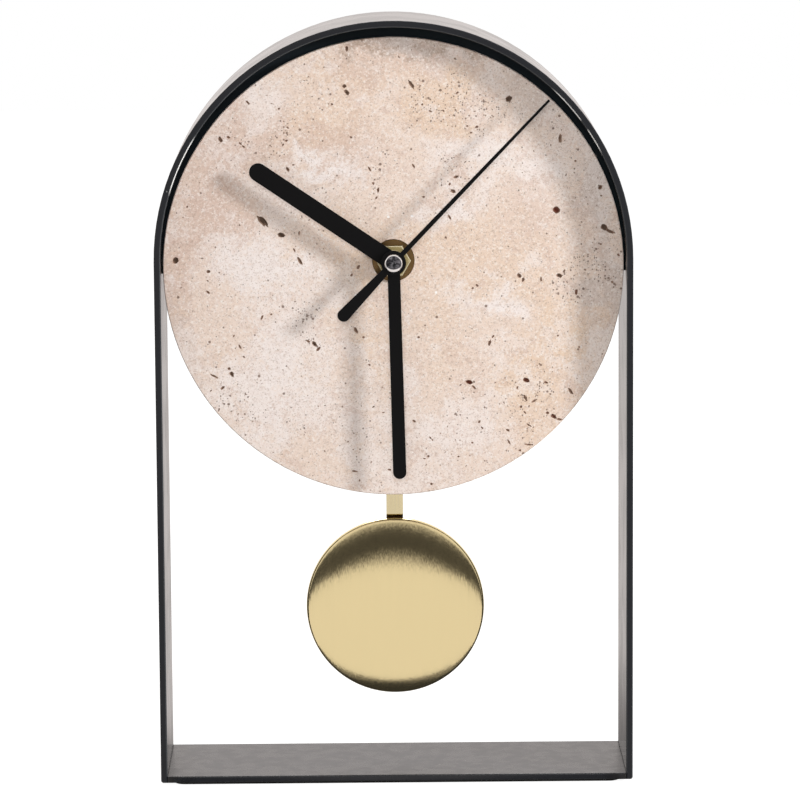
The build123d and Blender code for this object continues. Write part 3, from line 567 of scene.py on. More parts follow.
# "brush" stretches the grain of a metal: short across the brushing and long along it
metalUsual = {"fine": 1.0, "coarse": 0.18, "share": 1.2, "depth": 0.000002, "strength": 0.4, "edge": 0.0001,
              "mottled": 0.86, "metallic": 1.0}
metalFacts = {
    "bob_brass": {"colour": colour(242, 227, 177), "roughness": (0.12, 0.13), "brush": (3200, 3200, 180),
                  "depth": 0.0000008, "strength": 0.1, "anisotropy": 0.2, "edge": 0.0003, "mottled": 0.994,
                  "share": 0.15, "streak": 0.075, "streakStretch": (3600, 3600, 260),
                  "streakNoise": (1.0, 2.0, 0.6)},
    "rod_brass": {"colour": colour(233, 222, 182), "roughness": (0.24, 0.3), "brush": (2800, 2800, 100),
                  "depth": 0.0000006, "strength": 0.1, "anisotropy": 0.5, "edge": 0.00015, "mottled": 0.98,
                  "share": 0.2},
    # the nut's edges carry a painted highlight, and the washer's rim a painted shade
    "nut_brass": {"colour": colour(172, 156, 110), "roughness": (0.2, 0.28), "brush": (600, 600, 600),
                  "depth": 0.000001, "strength": 0.2, "edge": 0.0006, "metallic": 0.3,
                  "paintedEdgeLighting": colour(255, 248, 218)},
    "washer_brass": {"colour": colour(116, 92, 58), "roughness": (0.24, 0.34), "brush": (600, 600, 600),
                     "depth": 0.000001, "strength": 0.2, "edge": 0.0005, "metallic": 0.8,
                     "paintedEdgeLighting": colour(60, 40, 20)},
    "bush_brass": {"colour": colour(200, 176, 126), "roughness": (0.2, 0.3), "brush": (2600, 2600, 2600),
                   "edge": 0.0002},
    "cap_chrome": {"colour": colour(255, 255, 255), "roughness": (0.04, 0.08), "brush": (900, 900, 900),
                   "strength": 0.3, "edge": 0.0002},
    "arbor_steel": {"colour": colour(188, 188, 190), "roughness": (0.2, 0.3), "brush": (2000, 2000, 2000)},
    "pin_steel": {"colour": colour(190, 190, 190), "roughness": (0.18, 0.28), "brush": (2000, 2000, 2000)},
    "core_steel": {"colour": colour(168, 168, 170), "roughness": (0.3, 0.42), "brush": (400, 4000, 4000),
                   "depth": 0.000003, "strength": 0.5},
    "contact_steel": {"colour": colour(206, 206, 204), "roughness": (0.2, 0.32), "brush": (4000, 4000, 300),
                      "depth": 0.000003, "strength": 0.5},
    "crystal_can": {"colour": colour(200, 202, 204), "roughness": (0.14, 0.22), "brush": (300, 4000, 4000)},
    "magnet_grey": {"colour": colour(120, 122, 126), "roughness": (0.3, 0.45), "brush": (1800, 1800, 1800),
                    "depth": 0.000004, "strength": 0.5, "edge": 0.0002},
}
# moulded plastics, rubber, and the lacquer of the hands
plasticUsual = {"fine": 2600.0, "coarse": 90.0, "share": 0.2, "depth": 0.00001, "strength": 0.5,
                "edge": 0.0002, "roughness": (0.35, 0.5), "mottled": 1.3, "dustScale": 230.0,
                "dustSize": 0.06, "dustRarity": 0.9, "dustColour": colour(190, 190, 188)}
plasticFacts = {
    "hand_black": {"colour": colour(11, 11, 12), "roughness": (0.55, 0.65), "fine": 4200.0,
                   "depth": 0.000008, "dust": 0.6, "edge": 0.00012, "specular": 0.12},
    "case_plastic": {"colour": colour(30, 31, 33), "roughness": (0.38, 0.55), "depth": 0.00003,
                     "dust": 0.35, "edge": 0.0003},
    "arm_plastic": {"colour": colour(222, 219, 208)},
    "wheel_plastic": {"colour": colour(226, 222, 210), "edge": 0.0001},
    "knob_plastic": {"colour": colour(168, 30, 26), "depth": 0.00002, "dust": 0.2},
    "bobbin_plastic": {"colour": colour(214, 206, 186), "roughness": (0.4, 0.5)},
    "chip_black": {"colour": colour(22, 22, 24), "roughness": (0.25, 0.4), "fine": 1500.0, "depth": 0.00002},
    "base_rubber": {"colour": colour(16, 16, 17), "roughness": (0.6, 0.8), "fine": 3000.0,
                    "depth": 0.00004, "dust": 0.3, "edge": 0.0003},
    "gasket_rubber": {"colour": colour(22, 22, 22), "roughness": (0.6, 0.75), "fine": 3000.0,
                      "depth": 0.00003},
}


def surfaceColour(name, tree, facts, place, grain, edges):
    base = facts["colour"]
    if "mottled" in facts:
        other = [channel * facts["mottled"] for channel in base[:3]] + [1.0]
        base = blendColour(tree, grain["Mottle"], base, other)
    if "wear" in facts:
        base = blendColour(tree, times(tree, edges["Mask"], facts["wear"]), base, facts["wornColour"])
    # painted light on edges: a painted highlight on the nut, a painted shade on the washer's rim
    if "paintedEdgeLighting" in facts:
        base = blendColour(tree, fade(tree, edges["Mask"], *facts["edgeFade"]), base, facts["paintedEdgeLighting"])
    if "dust" in facts:
        dust = useGroup(tree, dustGroup, {"Place": place, "Scale": facts["dustScale"],
                                          "Size": facts["dustSize"], "Rarity": facts["dustRarity"]})
        base = blendColour(tree, times(tree, dust["Mask"], facts["dust"]), base, facts["dustColour"])
    return extras[name](tree, base) if name in extras else base


def makeSurface(name, facts):
    material, tree, shader = startMaterial(name)
    place = objectPlace(tree, facts["brush"])
    grain = useGroup(tree, grainGroup, {"Place": place, "Fine": facts["fine"], "Coarse": facts["coarse"],
                                        "Share": facts["share"]})
    edges = useGroup(tree, edgeGroup, {"Radius": facts["edge"]})
    bump = addBump(tree, grain["Height"], facts["depth"], facts["strength"], edges["Normal"])
    if "streak" in facts:
        # each brush mark tips the face a little up or down, which frays what it mirrors
        mark = noiseValue(tree, objectPlace(tree, facts["streakStretch"]), *facts["streakNoise"])
        lean = times(tree, calculate(tree, "SUBTRACT", mark, 0.5), facts["streak"])
        bump = vector(tree, "NORMALIZE", vector(tree, "ADD", bump, uprightPlace(tree, 0.0, lean)))
    connect(tree, shader, {"Base Color": surfaceColour(name, tree, facts, place, grain, edges),
                           "Roughness": fade(tree, grain["Mottle"], 0.0, 1.0, *facts["roughness"]),
                           "Metallic": facts["metallic"], "Specular IOR Level": facts["specular"],
                           "Anisotropic": facts["anisotropy"], "Normal": bump})
    if facts["anisotropy"]:
        turned = addNode(tree, "ShaderNodeVectorTransform", {0: uprightPlace(tree, 1.0, 0.0)},
                         vector_type="VECTOR", convert_from="OBJECT", convert_to="WORLD").outputs[0]
        connect(tree, shader, {"Tangent": turned})
    return material


# Enamelled wire of the coils, wound round each coil's own axis; the grooves between the turns are painted
# darker, as painted shade (the colour "deep")
wireFacts = {"colour": colour(176, 92, 44), "deep": colour(98, 44, 20), "wire": 0.00022, "roughness": 0.3,
             "metallic": 0.6, "relief": 0.8,
             "bands": {"Distortion": 1.2, "Detail": 1.0, "Detail Scale": 0.4}}


def makeWire(name, facts):
    material, tree, shader = startMaterial(name)
    bands = {"Vector": objectPlace(tree), "Scale": 0.5 / facts["wire"] / math.pi, **facts["bands"]}
    turns = addNode(tree, "ShaderNodeTexWave", bands, wave_type="BANDS",
                    bands_direction="DIAGONAL").outputs["Fac"]
    # painted shade: darker between the turns
    connect(tree, shader, {"Base Color": blendColour(tree, turns, facts["deep"], facts["colour"]),
                           "Metallic": facts["metallic"], "Roughness": facts["roughness"],
                           "Normal": addBump(tree, turns, facts["wire"] / 4, facts["relief"])})
    return material


# Printed board: green lacquer over copper tracks
boardFacts = {"lacquer": colour(22, 92, 48), "track": colour(58, 132, 70), "pitch": 0.0024, "roughness": 0.3,
              "trackHeight": 0.00005, "relief": 0.6, "tracks": {"Mortar Size": 0.03, "Mortar Smooth": 0.1},
              "grain": {"Fine": 2500.0, "Coarse": 200.0, "Share": 0.4}, "mottled": 0.2}


def makeBoard(name, facts):
    material, tree, shader = startMaterial(name)
    place = objectPlace(tree)
    level = addNode(tree, "ShaderNodeMapping", {"Vector": place, "Rotation": (math.pi / 2, 0, 0)}).outputs[0]
    tracks = {"Vector": level, "Scale": 1 / facts["pitch"] / 4, **facts["tracks"]}
    steps = addNode(tree, "ShaderNodeTexBrick", tracks).outputs["Fac"]
    grain = useGroup(tree, grainGroup, {"Place": place, **facts["grain"]})
    base = blendColour(tree, steps, facts["lacquer"], facts["track"])
    base = blendColour(tree, times(tree, grain["Mottle"], facts["mottled"]), base, facts["track"])
    connect(tree, shader, {"Base Color": base, "Roughness": facts["roughness"],
                           "Normal": addBump(tree, steps, facts["trackHeight"], facts["relief"])})
    return material


# Dry cell: plain shrink sleeve between bare metal ends
cellFacts = {"sleeve": colour(44, 46, 50), "band": colour(176, 178, 180), "metal": colour(196, 196, 194),
             "endShare": 0.03, "bandShare": 0.22, "roughness": 0.28, "grainDepth": 0.00002, "relief": 0.4,
             "stretch": (1, 6, 6), "grain": {"Fine": 900.0, "Coarse": 120.0, "Share": 1.0}, "mottled": 0.12}


def makeCell(name, facts):
    material, tree, shader = startMaterial(name)
    low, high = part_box("battery_cell")
    along = calculate(tree, "SUBTRACT", splitPlace(tree)["X"], low.x)
    along = calculate(tree, "DIVIDE", along, high.x - low.x)
    end = calculate(tree, "MAXIMUM", calculate(tree, "LESS_THAN", along, facts["endShare"]),
                    calculate(tree, "GREATER_THAN", along, 1 - 2 * facts["endShare"]))
    band = calculate(tree, "GREATER_THAN", along, 1 - facts["bandShare"])
    grain = useGroup(tree, grainGroup, {"Place": objectPlace(tree, facts["stretch"]), **facts["grain"]})
    base = blendColour(tree, band, facts["sleeve"], facts["band"])
    base = blendColour(tree, end, base, facts["metal"])
    base = blendColour(tree, times(tree, grain["Mottle"], facts["mottled"]), base, facts["metal"])
    connect(tree, shader, {"Base Color": base, "Metallic": end, "Roughness": facts["roughness"],
                           "Normal": addBump(tree, grain["Height"], facts["grainDepth"], facts["relief"])})
    return material


def makeFinishes():
    made = {"dial_stone": makeStone("dial_stone", stoneFacts),
            "copper_wire": makeWire("copper_wire", wireFacts),
            "board_green": makeBoard("board_green", boardFacts),
            "cell_jacket": makeCell("cell_jacket", cellFacts)}
    kinds = ((paintUsual, paintFacts), (metalUsual, metalFacts), (plasticUsual, plasticFacts))
    for usual, kindFacts in kinds:
        for name, facts in kindFacts.items():
            made[name] = makeSurface(name, {**surfaceUsual, **usual, **facts})
    return made


# pieces with a finish of their own beside that of their slot
ownFinish = {"back_plate": "plate_paint", "base_plate": "base_paint", "dial_washer": "washer_brass"}


def dressFrame(finishes):
    for name, piece in cadNodes.items():
        for place in piece.material_slots:
            place.material = finishes[ownFinish.get(name, place.material.name.split(".")[0])]


# Holes of the stone that are large enough to see: place in pixels of the photograph, length and
# width in pixels, and the angle of the length, anticlockwise from level
stoneHoles = [
    (351.1, 50.3, 5, 2.6, 90), (348.4, 87.3, 4, 3.2, 20), (350.8, 93.4, 6, 3.4, -50),
    (252.5, 102.8, 5, 2, -50), (336, 105, 2, 2, 0), (283.5, 109, 2, 2, 0), (232.9, 136.8, 3.6, 2.2, -20),
    (224.9, 139, 6, 3, -60), (244.5, 143, 3.2, 1.8, -40), (247.6, 146, 3, 1.6, -40),
    (290.4, 140.5, 3, 1.8, 30), (291.7, 127.7, 3, 1.5, -30), (287, 144.5, 2.6, 1.6, 60),
    (354.7, 137.7, 2.6, 1.8, -30), (291.4, 168.8, 4.4, 2.8, -60), (297, 164.5, 2, 1.6, 0),
    (381.3, 189.9, 4.6, 2.4, 80), (373, 169.2, 5, 1.8, -60), (379.5, 197.6, 3, 1.6, 60),
    (376.4, 183.4, 3, 1.8, -50), (266, 219.7, 14, 5, -47), (284.3, 233.8, 6.6, 4.4, -15),
    (178.7, 258.2, 6, 5.2, 60), (302.2, 232, 4, 1.8, 85), (191.1, 205.1, 2, 1.8, 0),
    (297.2, 248.7, 4, 1.8, -65), (302.7, 259.6, 9, 2.6, -60), (211.3, 269.4, 3.6, 2.8, 10),
    (210.5, 278.7, 2, 1.4, -30), (210.7, 290.1, 4, 2.2, -40), (361, 266, 4.4, 2.4, 60),
    (354.2, 274, 3.2, 2, 60), (414.9, 86, 8.6, 3, -58), (511.9, 100.9, 6.4, 4.6, 35), (481.2, 56, 3, 2, 10),
    (458.3, 61.1, 1.8, 1.6, 0), (562.7, 140.2, 8.6, 2.8, 88), (577.7, 162.6, 2, 1.8, 0),
    (602.5, 188.8, 4.6, 3.2, 60), (603.5, 197, 2, 1.6, 0), (558.8, 211, 6.8, 6, -30),
    (606.4, 228.4, 7, 5, -45), (612.3, 232.6, 8, 3, -28), (456, 191.6, 5, 3, -30),
    (458.8, 177.5, 5, 2.4, 20), (452.5, 184.5, 3, 1.8, 70), (416.5, 166.2, 4.4, 1.8, -60),
    (426.5, 197, 2.4, 2, 0), (452.2, 217.3, 4.6, 2, -60), (448.4, 237.5, 2.4, 1.8, -40),
    (460.5, 94.6, 3, 1.8, 30), (479.9, 128.2, 2.8, 2.2, 0), (470.2, 127.4, 2, 1.6, 0),
    (474, 134, 2.2, 1.6, 0), (433.6, 112.6, 3.4, 1.6, -20), (446.6, 112.2, 2.6, 1.4, -40),
    (425.6, 105.8, 2, 1.6, 0), (620.8, 256, 3, 2, -40), (603, 245, 2.2, 1.6, 0),
    (561.6, 276, 5.4, 3.6, -15), (566.2, 271.6, 3, 1.6, 60), (587.3, 270.3, 2.4, 1.6, -30),
    (521.6, 275.6, 4.6, 3, -50), (525.4, 279.8, 4, 2.4, 70), (543.3, 279.6, 4.4, 2, 85),
    (479.5, 285.3, 3, 2, -40), (475, 288, 2.4, 1.8, 40), (578.7, 292.6, 5.6, 2.8, 88),
    (358, 328.8, 6.6, 2.6, -62), (365.5, 336, 2.4, 2, 0), (264.2, 315.6, 4.4, 2, 60),
    (273.5, 312.7, 2, 1.6, 0), (310.3, 339.7, 3.4, 2.2, -30), (316.6, 342.4, 6, 3.4, -40),
    (320.4, 347.4, 5, 2.2, 40), (241.9, 344.7, 4.6, 1.8, -60), (236, 333.7, 2.4, 1.6, 60),
    (245.7, 354.8, 2.4, 1.6, -30), (230.9, 366.4, 3, 2.6, 0), (233.4, 371.9, 5.4, 3.4, -65),
    (216, 374, 8, 2, -27), (224.1, 385.6, 4.4, 2.4, 40), (220.1, 407.5, 3.4, 1.4, 80),
    (355.6, 470.2, 5.4, 1.6, -5), (390.7, 469, 3.2, 1.8, -10), (360.5, 479.6, 2.2, 1.4, 80),
    (375, 405.8, 2.8, 1.2, 35), (371.3, 363.6, 2.4, 1.6, -40), (495.3, 336.2, 3.4, 1.8, 60),
    (491.6, 342.8, 5.4, 2.4, 72), (420.7, 336.5, 2.4, 1.8, 0), (471.2, 381.8, 6.4, 4, -20),
    (476, 387, 5, 1.8, -45), (462.4, 384.6, 2.4, 1.4, 30), (528.4, 380.1, 6.4, 4, -20),
    (519.4, 387.6, 3, 1.8, 60), (548, 382.6, 4, 2.2, -20), (572.9, 391.7, 7, 2.6, -55),
    (527.3, 397.9, 6.4, 2.4, -60), (535.9, 401.2, 4.6, 2, 30), (523.1, 406.8, 2.6, 2.2, 0),
    (526.8, 412.5, 3, 1.6, -50), (549.6, 413, 3, 2.4, 0), (555.8, 416.6, 6, 3.4, -35),
    (562.6, 420, 6.4, 2.2, -12), (531.2, 425.4, 5, 1.4, -30), (509.7, 430.2, 3.4, 2.2, -30),
    (530.6, 444.8, 7.4, 1.8, -4), (511, 442.3, 5.6, 1.6, -60), (521.8, 450.6, 2.6, 1.8, 0),
    (481, 421.6, 3, 1.8, 60), (484, 427.6, 3, 1.6, -50), (474, 442.5, 2.4, 1.8, -20),
    (415.7, 420.3, 3.4, 2, -40), (429.8, 455.9, 2.4, 2, 0), (460, 456.4, 2, 1.6, 0),
    (432.6, 483.8, 2.4, 2, 0), (431.8, 437.3, 2.6, 1.4, -50), (581.5, 347.5, 2, 1.6, 0),
    (560, 335.9, 2, 1.6, 0), (614.6, 282.8, 2.6, 2, -30),
]
holeFacts = {
    "grown": 1.14,
    "raggedness": 0.4,
    "raggedScale": 1.7,
    "raggedMost": 1.4,
    "noiseStep": 3.1,
    "depthShare": 0.55,
    "shallowest": 0.00045,
    "deepest": 0.001,
    "sink": 0.12,
    "fineFrom": 4.5,
    "fineLevel": 4,
    "plainLevel": 3,
    "looseCount": 420,
    "looseSizes": (0.00012, 0.00034),
    "looseSqueeze": ((1.0, 1.2, 0.55), (1.9, 1.5, 0.9)),
    "looseTurn": 1.5,
    "looseShake": (2600.0, 0.00028),
    "lostShare": 2.2,
    "crowdScale": 45.0,
    "crowdChance": (0.42, 0.66, 0.12, 1.0),
    "seed": 7,
    "rim": 0.0022,
    "hubRadius": 0.0085,
    "smoothAngle": 30,
    "flatFrom": 0.99,
}


def makeHoleShapes(facts):
    # one ragged pebble for each hole, all in one mesh, to be cut out of the disc
    mesh = bmesh.new()
    for number, (across, down, length, width, angle) in enumerate(stoneHoles):
        x, z = dialPlace((across, down))
        centre = Vector((x, dialFront, z))
        half = length * stoneFacts["pixelAcross"] / 2 * facts["grown"]
        side = width * stoneFacts["pixelAcross"] / 2 * facts["grown"]
        depth = min(max(2 * side * facts["depthShare"], facts["shallowest"]), facts["deepest"])
        turn = Matrix.Rotation(-math.radians(angle), 4, "Y")
        level = facts["fineLevel"] if length > facts["fineFrom"] else facts["plainLevel"]
        start = Vector((number * facts["noiseStep"], 0, 0))  # each hole reads the noise elsewhere
        for vert in bmesh.ops.create_icosphere(mesh, subdivisions=level, radius=1.0)["verts"]:
            ragged = noise.noise(vert.co * facts["raggedScale"] + start)
            # a long hole is more ragged than a round one
            out = vert.co * (1 + facts["raggedness"] * ragged * (facts["raggedMost"] - width / length))
            vert.co = centre + turn @ Vector((out.x * half, out.y * depth, out.z * side))
            vert.co.y += facts["sink"] * depth
    return addMesh("holeShapes", mesh)


def makePittedTree(facts):
    # scatters small ragged holes over the front face and cuts them, and the larger ones, out of the disc
    tree = bpy.data.node_groups.new("pittedStone", "GeometryNodeTree")
    for label, kind in (("Geometry", "Geometry"), ("Larger holes", "Object"),
                        ("Count per square metre", "Float"), ("Smallest", "Float"), ("Largest", "Float"),
                        ("Seed", "Int"), ("Stone", "Material")):
        addSocket(tree, label, kind)
    addSocket(tree, "Geometry", "Geometry", "OUTPUT")
    given = tree.nodes.new("NodeGroupInput").outputs
    result = tree.nodes.new("NodeGroupOutput")

    def drawn(low, high, kind="FLOAT_VECTOR"):
        # a random vector or number for each point
        first, out = (0, 0) if kind == "FLOAT_VECTOR" else (2, 1)
        inputs = {first: low, first + 1: high, "Seed": given["Seed"]}
        return addNode(tree, "FunctionNodeRandomValue", inputs, data_type=kind).outputs[out]

    place = addNode(tree, "GeometryNodeInputPosition").outputs[0]
    facing = addNode(tree, "GeometryNodeInputNormal").outputs[0]
    isFront = vector(tree, "DOT_PRODUCT", facing, (0, -1, 0))
    isFront = calculate(tree, "GREATER_THAN", isFront, facts["flatFrom"])
    reach = vector(tree, "LENGTH", vector(tree, "SUBTRACT", place, dialCentre))
    onDisc = times(tree, calculate(tree, "LESS_THAN", reach, dialRadius - facts["rim"]),
                   calculate(tree, "GREATER_THAN", reach, facts["hubRadius"]))
    spread = addNode(tree, "GeometryNodeDistributePointsOnFaces", {
        "Mesh": given["Geometry"], "Selection": isFront, "Density": given["Count per square metre"],
        "Seed": given["Seed"]}).outputs["Points"]
    # they stand in crowds, away from the rim and the washer
    crowd = noiseValue(tree, place, facts["crowdScale"], 2.0)
    luck = drawn(0.0, 1.0, "FLOAT")
    kept = times(tree, calculate(tree, "LESS_THAN", luck, fade(tree, crowd, *facts["crowdChance"])), onDisc)
    points = addNode(tree, "GeometryNodeDeleteGeometry", {
        "Geometry": spread, "Selection": calculate(tree, "SUBTRACT", 1.0, kept)}, domain="POINT").outputs[0]
    pebble = addNode(tree, "GeometryNodeMeshIcoSphere", {"Radius": 1.0, "Subdivisions": 2}).outputs["Mesh"]
    size = drawn(given["Smallest"], given["Largest"], "FLOAT")
    scale = vector(tree, "SCALE", drawn(*facts["looseSqueeze"]), size)
    turn = drawn((0.0, -facts["looseTurn"], 0.0), (0.0, facts["looseTurn"], 0.0))
    scattered = addNode(tree, "GeometryNodeInstanceOnPoints", {
        "Points": points, "Instance": pebble, "Rotation": turn, "Scale": scale}).outputs[0]
    loose = addNode(tree, "GeometryNodeRealizeInstances", {0: scattered}).outputs[0]
    shakeScale, most = facts["looseShake"]
    shake = noisePush(tree, place, shakeScale, 1.0, 0.5, most)
    loose = addNode(tree, "GeometryNodeSetPosition", {"Geometry": loose, "Offset": shake}).outputs[0]
    larger = addNode(tree, "GeometryNodeObjectInfo", {"Object": given["Larger holes"]}).outputs["Geometry"]
    joined = addNode(tree, "GeometryNodeJoinGeometry")
    tree.links.new(loose, joined.inputs[0])
    tree.links.new(larger, joined.inputs[0])
    cut = addNode(tree, "GeometryNodeMeshBoolean", operation="DIFFERENCE", solver="EXACT")
    connect(tree, cut, {"Self Intersection": True, "Mesh 1": given["Geometry"], "Mesh 2": joined.outputs[0]})
    whole = addNode(tree, "GeometryNodeRealizeInstances", {0: cut.outputs["Mesh"]}).outputs[0]
    painted = addNode(tree, "GeometryNodeSetMaterial", {"Geometry": whole, "Material": given["Stone"]})
    connect(tree, result, {0: painted.outputs[0]})
    return tree


def setInputs(modifier, values):
    # a modifier takes the value of an input by the identifier of its socket
    for item in modifier.node_group.interface.items_tree:
        if item.item_type == "SOCKET" and item.in_out == "INPUT" and item.name in values:
            modifier[item.identifier] = values[item.name]


# A CAD mesh is loose triangles, so a copy is welded before it is worked on
weldFacts = {"near": 0.000001, "flatAngle": 0.0005}


def mergedCopy(node, name):
    mesh = bmesh.new()
    mesh.from_mesh(cadNodes[node].data)
    bmesh.ops.remove_doubles(mesh, verts=mesh.verts, dist=weldFacts["near"])
    bmesh.ops.dissolve_limit(mesh, angle_limit=weldFacts["flatAngle"], verts=mesh.verts, edges=mesh.edges)
    return addMesh(name, mesh)


def bakeModifier(piece):
    # the evaluated result becomes a plain mesh, and the modifier goes
    seen = piece.evaluated_get(bpy.context.evaluated_depsgraph_get())
    plain = bpy.data.meshes.new_from_object(seen)
    piece.modifiers.clear()
    piece.data = plain


def smoothShade(piece, angle):
    for face in piece.data.polygons:
        face.use_smooth = True
    piece.data.set_sharp_from_angle(angle=math.radians(angle))


def makeDial(facts, finishes):
    piece = mergedCopy("dial_disc", "stone_dial")
    shapes = makeHoleShapes(facts)
    modifier = piece.modifiers.new("pits", "NODES")
    modifier.node_group = makePittedTree(facts)
    setInputs(modifier, {
        "Larger holes": shapes,
        "Count per square metre": facts["looseCount"] / (math.pi * dialRadius ** 2) * facts["lostShare"],
        "Smallest": facts["looseSizes"][0], "Largest": facts["looseSizes"][1], "Seed": facts["seed"],
        "Stone": finishes["dial_stone"]})
    bakeModifier(piece)
    bpy.data.objects.remove(shapes)
    smoothShade(piece, facts["smoothAngle"])
    for face in piece.data.polygons:
        # the flat faces stay flat beside the holes
        face.use_smooth = abs(face.normal.y) < facts["flatFrom"]
    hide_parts("dial_disc")
    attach(piece, "frame")
    print("stone dial with", len(stoneHoles), "placed holes,", len(piece.data.polygons), "faces")


# Domed brass face of the bob, pressed from sheet, turned as one closed skin
bobFacts = {"domeRadius": 0.098, "rim": 0.0013, "sheet": 0.0006, "rings": 40, "rimSteps": 10, "sides": 160,
            "smoothAngle": 40}


def bobOutline(facts, front, back, radius):
    # from the middle of the face over the rim to the middle of the inner side, as radius and depth
    dome, rim, sheet, rings = facts["domeRadius"], facts["rim"], facts["sheet"], facts["rings"]
    # the dome meets the rolled rim where both have the same slope
    slope = math.asin((radius - rim) / (dome - rim))
    outline = []
    for step in range(1, rings + 1):
        turn = slope * step / rings
        outline.append((dome * math.sin(turn), front + dome * (1 - math.cos(turn))))
    rimCentre = (radius - rim, front + dome - (dome - rim) * math.cos(slope))
    for step in range(1, facts["rimSteps"] + 1):
        turn = slope + (math.pi / 2 - slope) * step / facts["rimSteps"]
        outline.append((rimCentre[0] + rim * math.sin(turn), rimCentre[1] - rim * math.cos(turn)))
    outline += [(radius, back), (radius - sheet, back)]
    return outline + [(r - sheet * math.sin(slope * (r / radius)), y + sheet)
                      for r, y in outline[rings - 1::-1]]


def makeBob(facts, finishes):
    low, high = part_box("bob_shell")
    height = (high.z + low.z) / 2
    sides = facts["sides"]
    mesh = bmesh.new()
    first = mesh.verts.new((0, low.y, height))
    last = mesh.verts.new((0, low.y + facts["sheet"], height))
    rings = []
    turns = [2 * math.pi * side / sides for side in range(sides)]
    for r, y in bobOutline(facts, low.y, high.y, (high.x - low.x) / 2):
        rings.append([mesh.verts.new((r * math.cos(turn), y, height + r * math.sin(turn)))
                      for turn in turns])
    for side in range(sides):
        after = (side + 1) % sides
        mesh.faces.new((first, rings[0][side], rings[0][after]))
        mesh.faces.new((last, rings[-1][after], rings[-1][side]))
        for near, far in zip(rings, rings[1:]):
            mesh.faces.new((near[side], far[side], far[after], near[after]))
    bmesh.ops.recalc_face_normals(mesh, faces=mesh.faces)
    piece = addMesh("bob_face", mesh)
    piece.data.materials.append(finishes["bob_brass"])
    smoothShade(piece, facts["smoothAngle"])
    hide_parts("bob_shell")
    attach(piece, "pendulum")
    print("bob turned,", len(piece.data.polygons), "faces")


# White floor, lamps and surroundings. The levels from "glossLevel" on are only for what gloss mirrors.
stageFacts = {
    "floorHalf": 3.0,
    "floorDrop": 0.0002,
    "floorPaper": (0.55, 0.55, 0.55, 1.0),
    "floorSeen": (0.35, 0.35, 0.35, 1.0),
    "cameraGlow": 0.95,
    "fill": 0.20,
    "fillTint": (1.0, 0.965, 0.92, 1.0),
    "frontTint": (1.0, 0.98, 0.955),
    "white": (1.0, 1.0, 1.0, 1.0),
    "keyDirection": (0.840, -0.456, 0.292),
    "keyDistance": 1.5,
    "keySize": 0.23,
    "keyPower": 18.6,
    "frontPlace": (0.0, -1.75, 0.56),
    "frontSize": 0.5,
    "frontPower": 12.2,
    "rearPlace": (-0.1, 1.1, 1.5),
    "rearSize": 0.9,
    "rearPower": 14.0,
    "glossLevel": 0.87,
    "behindStart": (0.0, 0.1),
    "behindShare": 0.80,
    "horizonStart": (1.4, 2.6),
    "horizonShare": 1.7,
    "shadeStart": (-0.034, -0.032),
    "shadeEnd": (0.0, 0.03),
    "shadeCurve": 3.7,
    "shadeSides": (0.082, 0.09),
    "shadeLevel": 0.20,
    "leftShade": (-0.03, 0.12),
    "rightShade": (-0.1, 0.3),
    "betweenShades": (-0.02, 0.02),
    "nearShade": (0.0, 0.02),
    "studioTint": (1.0, 0.93, 0.90, 1.0),
    "darkLevel": 0.068,
    "darkStart": (0.11, 0.296),
    "darkEnd": (0.435, 0.52),
    "darkFront": (0.05, -0.15),
    "startDroop": 0.67,
    "endDroop": 0.80,
    "sharper": (0.27, 0.075),
    "arcStart": (0.0, 0.3),
    "arcLevel": 0.93,
    "highLevel": 1.12,
    "highStart": (0.09, 0.17),
}


def studioLevel(tree, direction, facts):
    # the studio is white, with a dark band above in front that starts lower at the sides
    x, y, z = direction
    squared = times(tree, x, x)
    raised = calculate(tree, "ADD", z, times(tree, squared, facts["startDroop"]))
    topped = calculate(tree, "ADD", z, times(tree, squared, facts["endDroop"]))
    # and has a sharper border there
    gain, most = facts["sharper"]
    sharper = calculate(tree, "MINIMUM", times(tree, squared, gain), most)
    low = calculate(tree, "ADD", facts["darkStart"][0], sharper)
    high = calculate(tree, "SUBTRACT", facts["darkStart"][1], sharper)
    dark = times(tree, fade(tree, raised, low, high), fade(tree, topped, *facts["darkEnd"], 1.0, 0.0),
                 fade(tree, y, *facts["darkFront"]), 1.0 - facts["darkLevel"])
    return calculate(tree, "SUBTRACT", 1.0, dark)


def floorLevel(tree, facts):
    # how bright gloss shows the floor: a little darker behind the clock, and paler far away
    x, y = splitPlace(tree)[:2]
    level = fade(tree, y, *facts["behindStart"], 1.0, facts["behindShare"])
    far = fade(tree, y, *facts["horizonStart"], 1.0, facts["horizonShare"])
    # close behind the clock its own shade lies, longer on the right
    behind = blendNumber(tree, fade(tree, x, *facts["betweenShades"]), fade(tree, y, *facts["leftShade"]),
                         fade(tree, y, *facts["rightShade"]))
    behind = calculate(tree, "MAXIMUM", behind, fade(tree, y, *facts["nearShade"], 1.0, 0.0))
    # and another close in front of it, with a curved border
    curved = calculate(tree, "ADD", y, times(tree, times(tree, x, x), facts["shadeCurve"]))
    shade = times(tree, fade(tree, curved, *facts["shadeStart"]),
                  fade(tree, y, *facts["shadeEnd"], 1.0, 0.0),
                  fade(tree, calculate(tree, "ABSOLUTE", x), *facts["shadeSides"], 1.0, 0.0))
    front = fade(tree, shade, 0.0, 1.0, 1.0, facts["shadeLevel"])
    # the dark band is painted on the floor too, where it lies before the bob
    bobLow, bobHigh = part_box("bob_shell")
    floorPlace = addNode(tree, "ShaderNodeTexCoord").outputs["Object"]
    heading = vector(tree, "NORMALIZE", vector(tree, "SUBTRACT", floorPlace, (bobLow + bobHigh) / 2))
    band = studioLevel(tree, splitPlace(tree, heading), facts)
    return times(tree, level, far, behind, front, band, facts["glossLevel"])


